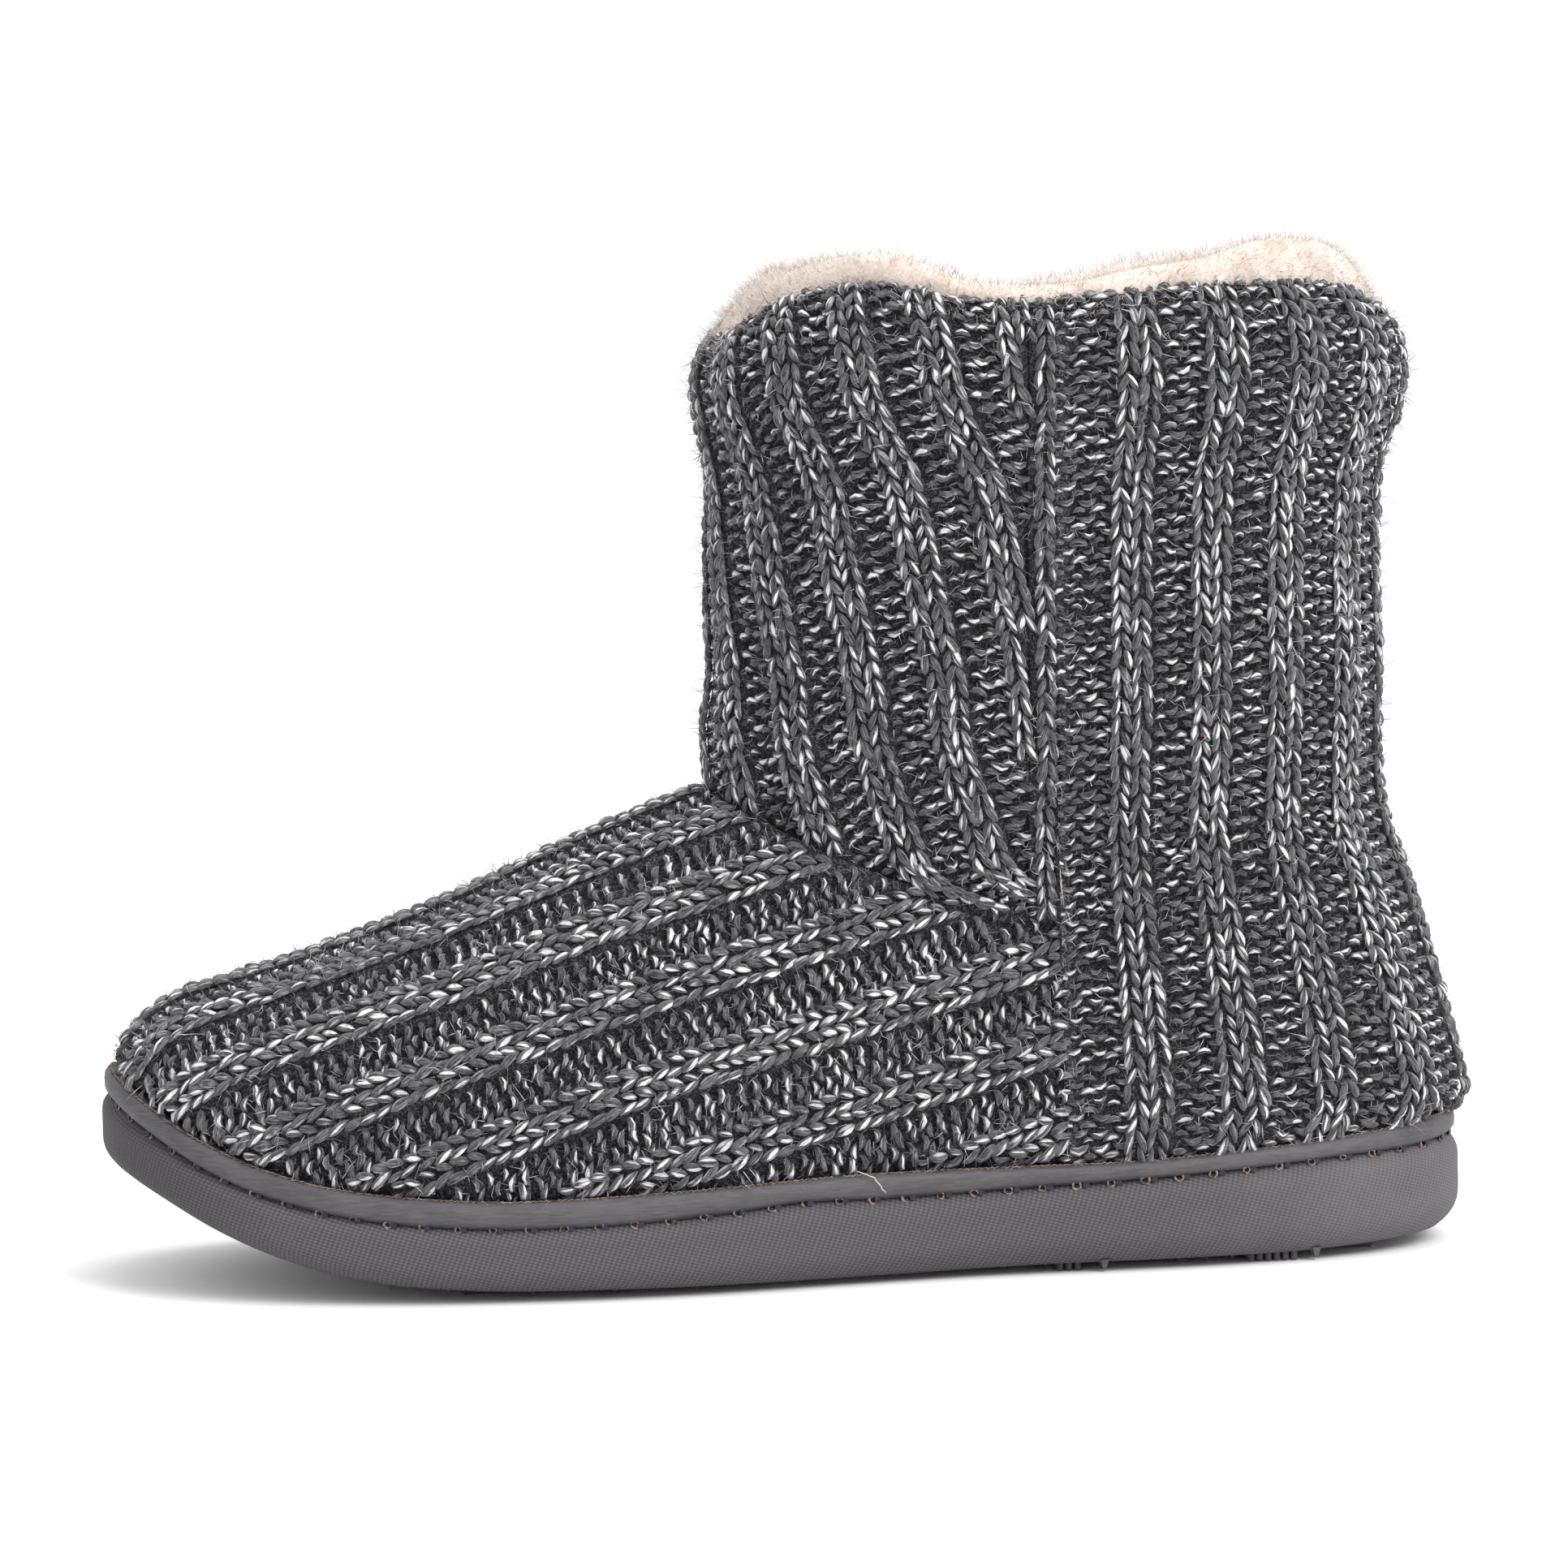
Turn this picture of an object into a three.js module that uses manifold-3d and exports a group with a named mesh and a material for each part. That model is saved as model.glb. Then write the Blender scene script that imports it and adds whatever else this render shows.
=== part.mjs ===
// Ankle-high knit bootie slipper, left shoe. Millimetres, +Z up, toe towards -X, lateral side towards -Y.
import * as THREE from 'three';
import { mergeVertices } from 'three/addons/utils/BufferGeometryUtils.js';
import Module from 'manifold-3d';

const wasm = await Module();
wasm.setup();

// Overall sizes of the last, measured from the toe tip
const toeX = 1.5;
const heelX = 270;
const heelCentreX = 188;
const toeInturn = 5;
const toePower = 2.5;
const heelPower = 2.6;
const lateral = { sign: -1, ballX: 100, ballHalf: 48.5, heelHalf: 38, waistDip: 0.5 };
const medial = { sign: 1, ballX: 82, ballHalf: 48.5, heelHalf: 38, waistDip: 3.5 };

// Heights along the shoe: underside of the sole, top of its moulded side, top of the rand
const soleHeights = [
  { x: 0, underside: 23.4, stitchLine: 38.2, randTop: 42.4 },
  { x: 10, underside: 18.8, stitchLine: 31.4, randTop: 35.8 },
  { x: 20, underside: 13.8, stitchLine: 25.6, randTop: 30.2 },
  { x: 32, underside: 9.0, stitchLine: 20.8, randTop: 25.4 },
  { x: 44, underside: 5.6, stitchLine: 17.8, randTop: 22.4 },
  { x: 60, underside: 3.2, stitchLine: 15.6, randTop: 20.4 },
  { x: 80, underside: 2.1, stitchLine: 14.6, randTop: 19.4 },
  { x: 110, underside: 1.8, stitchLine: 15.0, randTop: 20.2 },
  { x: 150, underside: 1.6, stitchLine: 16.0, randTop: 21.4 },
  { x: 190, underside: 1.9, stitchLine: 17.0, randTop: 21.2 },
  { x: 230, underside: 2.0, stitchLine: 19.0, randTop: 23.0 },
  { x: 270, underside: 3.2, stitchLine: 22.0, randTop: 26.2 },
];

// Instep line of the vamp; past the throat it runs on inside the shaft
const instepLine = [
  { x: 0, ridge: 40.4 },
  { x: 4, ridge: 44.2 },
  { x: 8, ridge: 48.6 },
  { x: 12, ridge: 52.6 },
  { x: 16, ridge: 55.0 },
  { x: 24, ridge: 57.7 },
  { x: 38, ridge: 61.7 },
  { x: 64, ridge: 70.7 },
  { x: 97, ridge: 84.8 },
  { x: 118, ridge: 93.0 },
  { x: 150, ridge: 106.0 },
  { x: 205, ridge: 126.0 },
];

// Shaft outline from the heel seat up: front edge, back edge and half width
const shaftOutline = [
  { z: 20, front: 150.0, back: 267.2, half: 36.0 },
  { z: 26, front: 144.0, back: 267.8, half: 36.0 },
  { z: 31, front: 140.0, back: 271.4, half: 36.0 },
  { z: 37, front: 136.0, back: 270.4, half: 35.8 },
  { z: 45, front: 130.0, back: 268.2, half: 35.4 },
  { z: 65, front: 124.0, back: 263.0, half: 34.2 },
  { z: 75, front: 122.4, back: 260.2, half: 34.2 },
  { z: 83, front: 121.8, back: 257.2, half: 34.6 },
  { z: 95, front: 121.8, back: 255.2, half: 35.6 },
  { z: 104, front: 121.4, back: 255.2, half: 36.2 },
  { z: 116, front: 123.0, back: 255.6, half: 36.8 },
  { z: 133, front: 122.8, back: 255.0, half: 37.6 },
  { z: 152, front: 123.2, back: 255.6, half: 38.8 },
  { z: 164, front: 121.6, back: 259.6, half: 41.4 },
  { z: 172, front: 120.6, back: 261.2, half: 43.0 },
  { z: 180, front: 122.6, back: 260.0, half: 43.4 },
  { z: 186, front: 127.0, back: 256.6, half: 43.0 },
  { z: 196, front: 134.0, back: 251.0, half: 42.0 },
];

// Height of the knitted rim and of the plush above it, along the shoe
const collarLine = [
  { x: 120, rim: 180.0, plush: 184.0 },
  { x: 126, rim: 183.4, plush: 187.4 },
  { x: 131, rim: 187.4, plush: 191.4 },
  { x: 138, rim: 191.0, plush: 195.2 },
  { x: 150, rim: 192.8, plush: 198.2 },
  { x: 160, rim: 191.8, plush: 196.6 },
  { x: 170, rim: 189.4, plush: 193.4 },
  { x: 184, rim: 189.4, plush: 190.4 },
  { x: 200, rim: 190.4, plush: 193.0 },
  { x: 220, rim: 191.6, plush: 197.8 },
  { x: 236, rim: 191.4, plush: 199.4 },
  { x: 248, rim: 189.8, plush: 197.0 },
  { x: 254, rim: 186.4, plush: 191.8 },
  { x: 262, rim: 182.0, plush: 186.0 },
];

// Seam where the vamp meets the shaft front, seen from the side, then the upright side seam
const throatSeam = [
  { x: 116, z: 97.5 },
  { x: 121, z: 94.6 },
  { x: 127, z: 90.4 },
  { x: 134, z: 86.0 },
  { x: 142, z: 81.8 },
  { x: 152, z: 77.4 },
  { x: 162, z: 73.6 },
  { x: 174, z: 70.0 },
  { x: 187, z: 67.0 },
  { x: 210, z: 62.0 },
];
const sideSeamX = 187;
const cornerZ = 67;

// Knit: ribs raised from the wall
const wallThickness = 3;
const ribHeight = 1.4;
const vampRib = { pitch: 17.3, crest: 3.6, foot: 5.6 };
const frontRib = { pitch: 15.8, crest: 3.1, foot: 5.0 };
const backRib = { firstShare: 0.0793, stepShare: 0.0935, count: 10, crest: 3.0, foot: 4.9 };
const backPanelLength = 166;
const frontSlant = 16;
const throatFrontZ = 95;
const shaftTopZ = 187;
const rimRoll = 1.6;
const rimRollHeight = 3.2;
const seamDepth = 0.5;
const seamLap = 1.6;
const featherTuck = 2.5;
const tuckHeight = 3;
const upperInset = 2.6;
const seatGap = 0.3;
const seatSink = 1.5;

// Where the sections lie: shares from the seam to the toe, or from the rim to the foot of the wall
const vampStations = [0, 0.025, 0.1, 0.22, 0.36, 0.5, 0.64, 0.78, 0.89, 0.96, 1];
const frontStations = [0, 0.025, 0.07, 0.16, 0.29, 0.44, 0.6, 0.76, 0.9, 1];
const backStations = [0, 0.018, 0.05, 0.12, 0.2, 0.32, 0.46, 0.58, 0.7, 0.8, 0.88, 0.935, 0.97];
const innerVampStations = [0, 0.014, 0.05, 0.11, 0.2, 0.32, 0.46, 0.62, 0.8, 1];
const innerShaftStations = [0, 0.05, 0.11, 0.17, 0.27, 0.42, 0.55, 0.65, 0.75, 0.86, 0.965];

// Lining, insole, rand and sole details
const liningGap = 0.7;
const pileDepth = 4;
const innerRound = 30;
const pileRound = 20;
const insoleThickness = 4;
const insoleClearance = 3.6;
const soleRound = 66;
const insoleRound = 36;
const randInnerInset = 4.4;
const archRise = 3;
const lugInset = 15;
const lugGap = 5;
const lugRoot = 2;

// Levels beyond the slipper, for the solids that cut it
const aboveRimZ = 230;
const belowSeat = 12;
const blockSize = 300;

const side = (name) => (name < 0 ? lateral : medial);
const clamp = (value, low, high) => Math.min(high, Math.max(low, value));
const mix = (a, b, t) => a + (b - a) * t;
const ease = (t) => {
  const c = clamp(t, 0, 1);
  return c * c * (3 - 2 * c);
};

// Smooth line through a table, without overshoot between its rows
function track(rows, key, column) {
  const slopes = rows.map((row, i) => {
    if (i === 0 || i === rows.length - 1) {
      const a = rows[Math.max(0, i - 1)];
      const b = rows[Math.min(rows.length - 1, i + 1)];
      return (b[column] - a[column]) / (b[key] - a[key]);
    }
    const before = (row[column] - rows[i - 1][column]) / (row[key] - rows[i - 1][key]);
    const after = (rows[i + 1][column] - row[column]) / (rows[i + 1][key] - row[key]);
    return before * after <= 0 ? 0 : (2 * before * after) / (before + after);
  });
  return (at) => {
    const value = clamp(at, rows[0][key], rows[rows.length - 1][key]);
    let i = 0;
    while (i < rows.length - 2 && value > rows[i + 1][key]) i += 1;
    const span = rows[i + 1][key] - rows[i][key];
    const t = (value - rows[i][key]) / span;
    const t2 = t * t;
    const t3 = t2 * t;
    return (2 * t3 - 3 * t2 + 1) * rows[i][column]
      + (t3 - 2 * t2 + t) * span * slopes[i]
      + (3 * t2 - 2 * t3) * rows[i + 1][column]
      + (t3 - t2) * span * slopes[i + 1];
  };
}

const undersideZ = track(soleHeights, 'x', 'underside');
const stitchZ = track(soleHeights, 'x', 'stitchLine');
const randTopZ = track(soleHeights, 'x', 'randTop');
const ridgeZ = track(instepLine, 'x', 'ridge');
const shaftFront = track(shaftOutline, 'z', 'front');
const shaftBack = track(shaftOutline, 'z', 'back');
const shaftHalf = track(shaftOutline, 'z', 'half');
const rimZ = track(collarLine, 'x', 'rim');
const plushZ = track(collarLine, 'x', 'plush');
const throatZ = track(throatSeam, 'x', 'z');

const wallFootZ = (x) => stitchZ(x) - seatSink;
const midline = (x) => toeInturn * Math.max(0, 1 - x / lateral.ballX) ** 2;

// Half width of the footprint on one side, drawn in by an inset
function footHalf(x, sign, inset) {
  const s = side(sign);
  if (x >= heelCentreX) {
    const t = clamp((x - heelCentreX) / (heelX - inset - heelCentreX), 0, 1);
    return (s.heelHalf - inset) * (1 - t ** heelPower) ** (1 / heelPower);
  }
  if (x <= s.ballX) {
    const t = clamp((s.ballX - x) / (s.ballX - toeX - inset), 0, 1);
    return (s.ballHalf - inset) * (1 - t ** toePower) ** (1 / toePower);
  }
  const t = (x - s.ballX) / (heelCentreX - s.ballX);
  const dip = s.waistDip * Math.sin(Math.PI * t) ** 2;
  return mix(s.ballHalf, s.heelHalf, ease(t)) - dip - inset;
}

// Exponent of the vamp's arch: full over the toes, leaner at the instep
const archPower = (x) => mix(2.3, 2.0, ease((x - 20) / 90));

// The arch of the vamp at one station, as points from the ridge down to the feather edge
const archSteps = 48;
function archSection(x, sign, inset) {
  const half = footHalf(x, sign, inset);
  const foot = randTopZ(x);
  const rise = Math.max(0.4, ridgeZ(x) - foot - (inset - upperInset));
  const power = archPower(x);
  const points = [];
  let reach = 0;
  for (let i = 0; i <= archSteps; i += 1) {
    const a = (i / archSteps) * Math.PI / 2;
    const out = half * Math.sin(a) ** (2 / power);
    const up = rise * Math.cos(a) ** (2 / power);
    if (i > 0) reach += Math.hypot(out - points[i - 1].out, up - points[i - 1].up);
    points.push({ out, up, reach });
  }
  return { points, foot, reach };
}

// Inward tuck of the wall just above the sole
const tuck = (x, z) => featherTuck * (1 - ease((z - randTopZ(x)) / tuckHeight));

// Point of the vamp at a station and a reach from the ridge along the arch
function vampPoint(x, sign, reach, inset) {
  const section = archSection(x, sign, inset);
  const list = section.points;
  const wanted = clamp(reach, 0, section.reach);
  let i = 1;
  while (i < list.length - 1 && list[i].reach < wanted) i += 1;
  const t = (wanted - list[i - 1].reach) / Math.max(1e-9, list[i].reach - list[i - 1].reach);
  const z = section.foot + mix(list[i - 1].up, list[i].up, t);
  const out = mix(list[i - 1].out, list[i].out, t);
  const widening = footHalf(x + 0.3, sign, inset) - footHalf(x - 0.3, sign, inset);
  const size = Math.hypot(widening, 0.6);
  const drawn = tuck(x, z);
  return new THREE.Vector3(
    x + (drawn * widening) / size,
    midline(x) + sign * Math.max(0, out - (drawn * 0.6) / size),
    z,
  );
}

// Half width of the vamp's arch at a station and a height
function archHalf(x, sign, z, inset) {
  const half = footHalf(x, sign, inset);
  const foot = randTopZ(x);
  const rise = ridgeZ(x) - foot - (inset - upperInset);
  const power = archPower(x);
  const t = clamp((z - foot) / rise, 0, 1);
  return half * (1 - t ** power) ** (1 / power);
}

// Station of the throat seam at a height
function throatX(z) {
  let low = throatSeam[0].x;
  let high = sideSeamX;
  for (let i = 0; i < 40; i += 1) {
    const middle = (low + high) / 2;
    if (throatZ(middle) > z) low = middle;
    else high = middle;
  }
  return (low + high) / 2;
}

const ringPower = 2.2;

// Level section of the shaft: half width and the two half lengths
function shaftRing(z, inset) {
  const archSide = archHalf(heelCentreX, 1, z, upperInset);
  const half = mix(archSide, shaftHalf(z), ease((z - 60) / 40));
  let front = heelCentreX - shaftFront(z);
  if (z < throatFrontZ) {
    const seamX = throatX(Math.max(z, cornerZ + 2));
    const share = clamp(archHalf(seamX, 1, Math.max(z, cornerZ + 2), upperInset) / half, 0, 0.985);
    front = clamp((heelCentreX - seamX) / (1 - share ** ringPower) ** (1 / ringPower), 50, front);
  }
  const more = inset - upperInset;
  return { half: half - more, front: front - more, back: shaftBack(z) - heelCentreX - more };
}

const ringSteps = 60;
const backPower = (z) => mix(heelPower, ringPower, ease((z - 40) / 60));

// One quarter and half turns of the ring by angle, 0 at the front and pi at the back
function ringPoint(z, angle, sign, inset) {
  const ring = shaftRing(z, inset);
  const c = Math.cos(angle);
  const s = Math.sin(angle);
  const power = c > 0 ? ringPower : backPower(z);
  const along = Math.abs(c) ** (2 / power) * (c > 0 ? -ring.front : ring.back);
  const out = ring.half * Math.max(0, s) ** (2 / power);
  const x = heelCentreX + along;
  const drawn = tuck(x, z);
  const size = Math.hypot(along, out) || 1;
  return new THREE.Vector3(
    x - (along / size) * drawn,
    sign * (out - (out / size) * drawn),
    z,
  );
}

// Half of the ring with its running length from the front
function ringTable(z, sign, inset) {
  const rows = [];
  let reach = 0;
  for (let i = 0; i <= ringSteps; i += 1) {
    const angle = (i / ringSteps) * Math.PI;
    const point = ringPoint(z, angle, sign, inset);
    if (i > 0) reach += point.distanceTo(rows[i - 1].point);
    rows.push({ angle, point, reach });
  }
  return rows;
}

const lerpRow = (a, b, t) => a.point.clone().lerp(b.point, t);

// Point of the ring at a running length; negative lengths lie on the medial side
function ringAt(z, reach, inset) {
  const rows = ringTable(z, reach < 0 ? 1 : -1, inset);
  const wanted = Math.min(Math.abs(reach), rows[ringSteps].reach);
  let i = 1;
  while (i < ringSteps && rows[i].reach < wanted) i += 1;
  const t = (wanted - rows[i - 1].reach) / (rows[i].reach - rows[i - 1].reach);
  return lerpRow(rows[i - 1], rows[i], t);
}

// Point of the ring behind the side seam, at a share of the way round the heel
function ringBehind(z, share, inset) {
  const sign = share > 0.5 ? 1 : -1;
  const rows = ringTable(z, sign, inset);
  const after = rows.findIndex((row) => row.point.x >= sideSeamX);
  const [low, high] = [rows[after - 1], rows[after]];
  const past = (sideSeamX - low.point.x) / (high.point.x - low.point.x);
  const start = mix(low.reach, high.reach, past);
  const total = rows[ringSteps].reach - start;
  const part = share > 0.5 ? 2 * (1 - share) : 2 * share;
  return ringAt(z, -sign * (start + part * total), inset);
}

// Closed solid from a sheet of points, its first row drawn to one apex and the other edges to another
function fillSheet(rows, startApex, endApex) {
  const positions = [];
  const indices = [];
  const wide = rows[0].length;
  rows.forEach((row) => row.forEach((p) => positions.push(p.x, p.y, p.z)));
  const start = positions.length / 3;
  positions.push(startApex.x, startApex.y, startApex.z);
  const end = start + 1;
  positions.push(endApex.x, endApex.y, endApex.z);
  const at = (j, i) => j * wide + i;
  for (let j = 0; j < rows.length - 1; j += 1) {
    for (let i = 0; i < wide - 1; i += 1) {
      indices.push(at(j, i), at(j + 1, i), at(j + 1, i + 1));
      indices.push(at(j, i), at(j + 1, i + 1), at(j, i + 1));
    }
    indices.push(at(j, 0), end, at(j + 1, 0));
    indices.push(at(j, wide - 1), at(j + 1, wide - 1), end);
  }
  const last = rows.length - 1;
  for (let i = 0; i < wide - 1; i += 1) {
    indices.push(at(0, i), at(0, i + 1), start);
    indices.push(at(last, i), end, at(last, i + 1));
  }
  indices.push(at(0, 0), start, end);
  indices.push(at(0, wide - 1), end, start);
  return solidFrom(positions, indices);
}

// Closed solid from level or tilted rings, capped by a fan at both ends
function loft(rings, startCentre, endCentre) {
  const positions = [];
  const indices = [];
  const round = rings[0].length;
  rings.forEach((ring) => ring.forEach((p) => positions.push(p.x, p.y, p.z)));
  const start = positions.length / 3;
  positions.push(startCentre.x, startCentre.y, startCentre.z);
  positions.push(endCentre.x, endCentre.y, endCentre.z);
  for (let j = 0; j < rings.length - 1; j += 1) {
    for (let i = 0; i < round; i += 1) {
      const n = (i + 1) % round;
      indices.push(j * round + i, (j + 1) * round + i, (j + 1) * round + n);
      indices.push(j * round + i, (j + 1) * round + n, j * round + n);
    }
  }
  const last = (rings.length - 1) * round;
  for (let i = 0; i < round; i += 1) {
    const n = (i + 1) % round;
    indices.push(i, n, start);
    indices.push(last + i, start + 1, last + n);
  }
  return solidFrom(positions, indices);
}

// Closed solid from rings round the footprint, its ends closed by strips across the shoe
function slab(rings) {
  const positions = [];
  const indices = [];
  const round = rings[0].length;
  rings.forEach((ring) => ring.forEach((p) => positions.push(p.x, p.y, p.z)));
  for (let j = 0; j < rings.length - 1; j += 1) {
    for (let i = 0; i < round; i += 1) {
      const n = (i + 1) % round;
      indices.push(j * round + i, (j + 1) * round + i, (j + 1) * round + n);
      indices.push(j * round + i, (j + 1) * round + n, j * round + n);
    }
  }
  const last = (rings.length - 1) * round;
  for (let i = 0; i < round / 2; i += 1) {
    const a = i;
    const b = i + 1;
    const c = (round - i) % round;
    const d = round - i - 1;
    indices.push(a, b, d, a, d, c);
    indices.push(last + a, last + d, last + b, last + a, last + c, last + d);
  }
  return solidFrom(positions, indices);
}

// Ring-shaped solid from sections placed round a closed path
function hoop(sections) {
  const positions = [];
  const indices = [];
  const count = sections.length;
  const points = sections[0].length;
  sections.forEach((section) => section.forEach((p) => positions.push(p.x, p.y, p.z)));
  for (let j = 0; j < count; j += 1) {
    const next = (j + 1) % count;
    for (let i = 0; i < points; i += 1) {
      const n = (i + 1) % points;
      indices.push(j * points + i, next * points + i, next * points + n);
      indices.push(j * points + i, next * points + n, j * points + n);
    }
  }
  return solidFrom(positions, indices);
}

// Closed solid facing out, from plain triangles
function solidFrom(positions, indices) {
  const raw = new THREE.BufferGeometry();
  raw.setAttribute('position', new THREE.Float32BufferAttribute(positions, 3));
  raw.setIndex(indices);
  const merged = mergeVertices(raw, 1e-4);
  const index = merged.index.array;
  const kept = [];
  for (let i = 0; i < index.length; i += 3) {
    const [a, b, c] = [index[i], index[i + 1], index[i + 2]];
    if (a !== b && b !== c && c !== a) kept.push(a, b, c);
  }
  const vertices = merged.attributes.position;
  let volume = 0;
  const p = [new THREE.Vector3(), new THREE.Vector3(), new THREE.Vector3()];
  for (let i = 0; i < kept.length; i += 3) {
    p.forEach((v, k) => v.fromBufferAttribute(vertices, kept[i + k]));
    volume += p[0].dot(p[1].cross(p[2]));
  }
  if (volume < 0) {
    for (let i = 0; i < kept.length; i += 3) {
      [kept[i + 1], kept[i + 2]] = [kept[i + 2], kept[i + 1]];
    }
  }
  return new wasm.Manifold(new wasm.Mesh({
    numProp: 3,
    vertProperties: new Float32Array(vertices.array),
    triVerts: new Uint32Array(kept),
  }));
}

// Outward directions over a sheet of points
function sheetNormals(rows) {
  return rows.map((row, j) => row.map((point, i) => {
    const along = rows[Math.min(j + 1, rows.length - 1)][i].clone()
      .sub(rows[Math.max(j - 1, 0)][i]);
    const across = row[Math.min(i + 1, row.length - 1)].clone()
      .sub(row[Math.max(i - 1, 0)]);
    const normal = across.cross(along);
    return normal.lengthSq() > 1e-12 ? normal.normalize() : new THREE.Vector3(0, 0, 1);
  }));
}

// Four edges across one raised rib: foot, crest, crest, foot
function ribEdges(centre, rib, scale) {
  return [
    { at: centre - rib.foot * scale, raised: 0 },
    { at: centre - rib.crest * scale, raised: 1 },
    { at: centre + rib.crest * scale, raised: 1 },
    { at: centre + rib.foot * scale, raised: 0 },
  ];
}

// Vamp: ribs keep their reach from the ridge and run out at the feather edge or at the seams
function vampSolid() {
  const columns = [];
  const most = archSection(sideSeamX, 1, upperInset).reach;
  const ribs = Math.floor((most - 3) / vampRib.pitch);
  for (let k = -ribs; k <= ribs; k += 1) columns.push(...ribEdges(k * vampRib.pitch, vampRib, 1));
  const endOf = (sign, reach) => {
    let low = toeX + upperInset + 0.2;
    let high = sideSeamX;
    for (let i = 0; i < 30; i += 1) {
      const middle = (low + high) / 2;
      if (archSection(middle, sign, upperInset).reach < Math.abs(reach)) low = middle;
      else high = middle;
    }
    return (low + high) / 2;
  };
  const seamOf = (sign, reach) => {
    let low = 100;
    let high = sideSeamX;
    for (let i = 0; i < 30; i += 1) {
      const middle = (low + high) / 2;
      if (vampPoint(middle, sign, Math.abs(reach), upperInset).z < throatZ(middle)) low = middle;
      else high = middle;
    }
    return (low + high) / 2;
  };
  const lines = columns.map((column) => {
    const sign = column.at < 0 ? 1 : -1;
    return { ...column, sign, toe: endOf(sign, column.at), seam: seamOf(sign, column.at) };
  });
  const rows = vampStations.map((share) => lines.map((line) => {
    const x = mix(line.seam + seamLap, line.toe, share);
    return vampPoint(x, line.sign, Math.abs(line.at), upperInset);
  }));
  const normals = sheetNormals(rows);
  rows.forEach((row, j) => row.forEach((point, i) => {
    const line = lines[i];
    const fromSeam = line.seam - point.x;
    const fromSole = point.z - randTopZ(point.x);
    const fade = ease((fromSeam + 0.4) / 5) * ease((fromSole - 0.6) / 4);
    const raised = line.raised * ribHeight * fade;
    const sunk = seamDepth * (1 - ease((fromSeam + 1) / 4));
    point.addScaledVector(normals[j][i], raised - sunk);
  }));
  const lowRow = rows[rows.length - 1].map((point) => (
    new THREE.Vector3(point.x, point.y, wallFootZ(point.x))
  ));
  rows.push(lowRow);
  const flankColumn = (sign) => rows.map((row, j) => {
    const edge = sign < 0 ? row[row.length - 1] : row[0];
    const z = j === rows.length - 1 ? edge.z : randTopZ(edge.x);
    const out = footHalf(edge.x, sign, upperInset + featherTuck);
    return new THREE.Vector3(edge.x, midline(edge.x) + sign * out, z);
  });
  const lowColumn = (sign) => rows.map((row) => {
    const edge = sign < 0 ? row[row.length - 1] : row[0];
    const out = footHalf(edge.x, sign, upperInset + featherTuck);
    return new THREE.Vector3(edge.x, midline(edge.x) + sign * out, wallFootZ(edge.x));
  });
  const flanks = { '-1': flankColumn(-1), 1: flankColumn(1) };
  const lows = { '-1': lowColumn(-1), 1: lowColumn(1) };
  const sheet = rows.map((row, j) => [lows[1][j], flanks[1][j], ...row, flanks[-1][j], lows[-1][j]]);
  return fillSheet(
    sheet,
    new THREE.Vector3(heelCentreX + 1, 0, cornerZ * 0.75),
    new THREE.Vector3(lateral.ballX, 0, wallFootZ(lateral.ballX)),
  );
}

// Shaft front: ribs slant across the panel and are cut off at the upright side seams
function shaftFrontSolid() {
  const columns = [];
  for (let k = -6; k <= 7; k += 1) columns.push(...ribEdges(k * frontRib.pitch, frontRib, 1));
  const reachAt = (column, z) => {
    const slant = frontSlant * (z - throatFrontZ) / (shaftTopZ - throatFrontZ);
    return column.at - slant;
  };
  const lines = columns.map((column) => {
    let top = shaftTopZ;
    let foot = 80;
    for (let i = 0; i < 12; i += 1) {
      top = rimZ(ringAt(top, reachAt(column, top), upperInset).x);
      const x = ringAt(foot, reachAt(column, foot), upperInset).x;
      foot = mix(foot, throatZ(Math.min(x, sideSeamX)) - seamLap, 0.6);
    }
    return { ...column, top, foot };
  });
  const rows = frontStations.map((share) => lines.map((line) => {
    const z = mix(line.top, line.foot, share);
    return ringAt(z, reachAt(line, z), upperInset);
  }));
  const normals = sheetNormals(rows);
  rows.forEach((row, j) => row.forEach((point, i) => {
    const line = lines[i];
    const fromTop = line.top - point.z;
    const fromSeam = point.z - line.foot - seamLap;
    const fade = mix(0.55, 1, ease(fromTop / 6)) * ease((fromSeam + 0.6) / 5);
    const roll = rimRoll * (1 - ease(fromTop / rimRollHeight));
    const sunk = seamDepth * (1 - ease((fromSeam + 1) / 4));
    point.addScaledVector(normals[j][i], line.raised * ribHeight * fade - sunk - roll);
  }));
  const filled = fillSheet(
    rows,
    new THREE.Vector3(heelCentreX + 8, 0, shaftTopZ),
    new THREE.Vector3(heelCentreX + 8, 0, cornerZ * 0.6),
  );
  return filled.intersect(beforeSeam(0.8));
}

// Block in front of the upright side seams
function beforeSeam(overlap) {
  const geometry = new THREE.BoxGeometry(sideSeamX + overlap, blockSize, 2 * blockSize);
  geometry.translate((sideSeamX + overlap) / 2, 0, 0);
  return solidOf(geometry);
}

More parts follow.
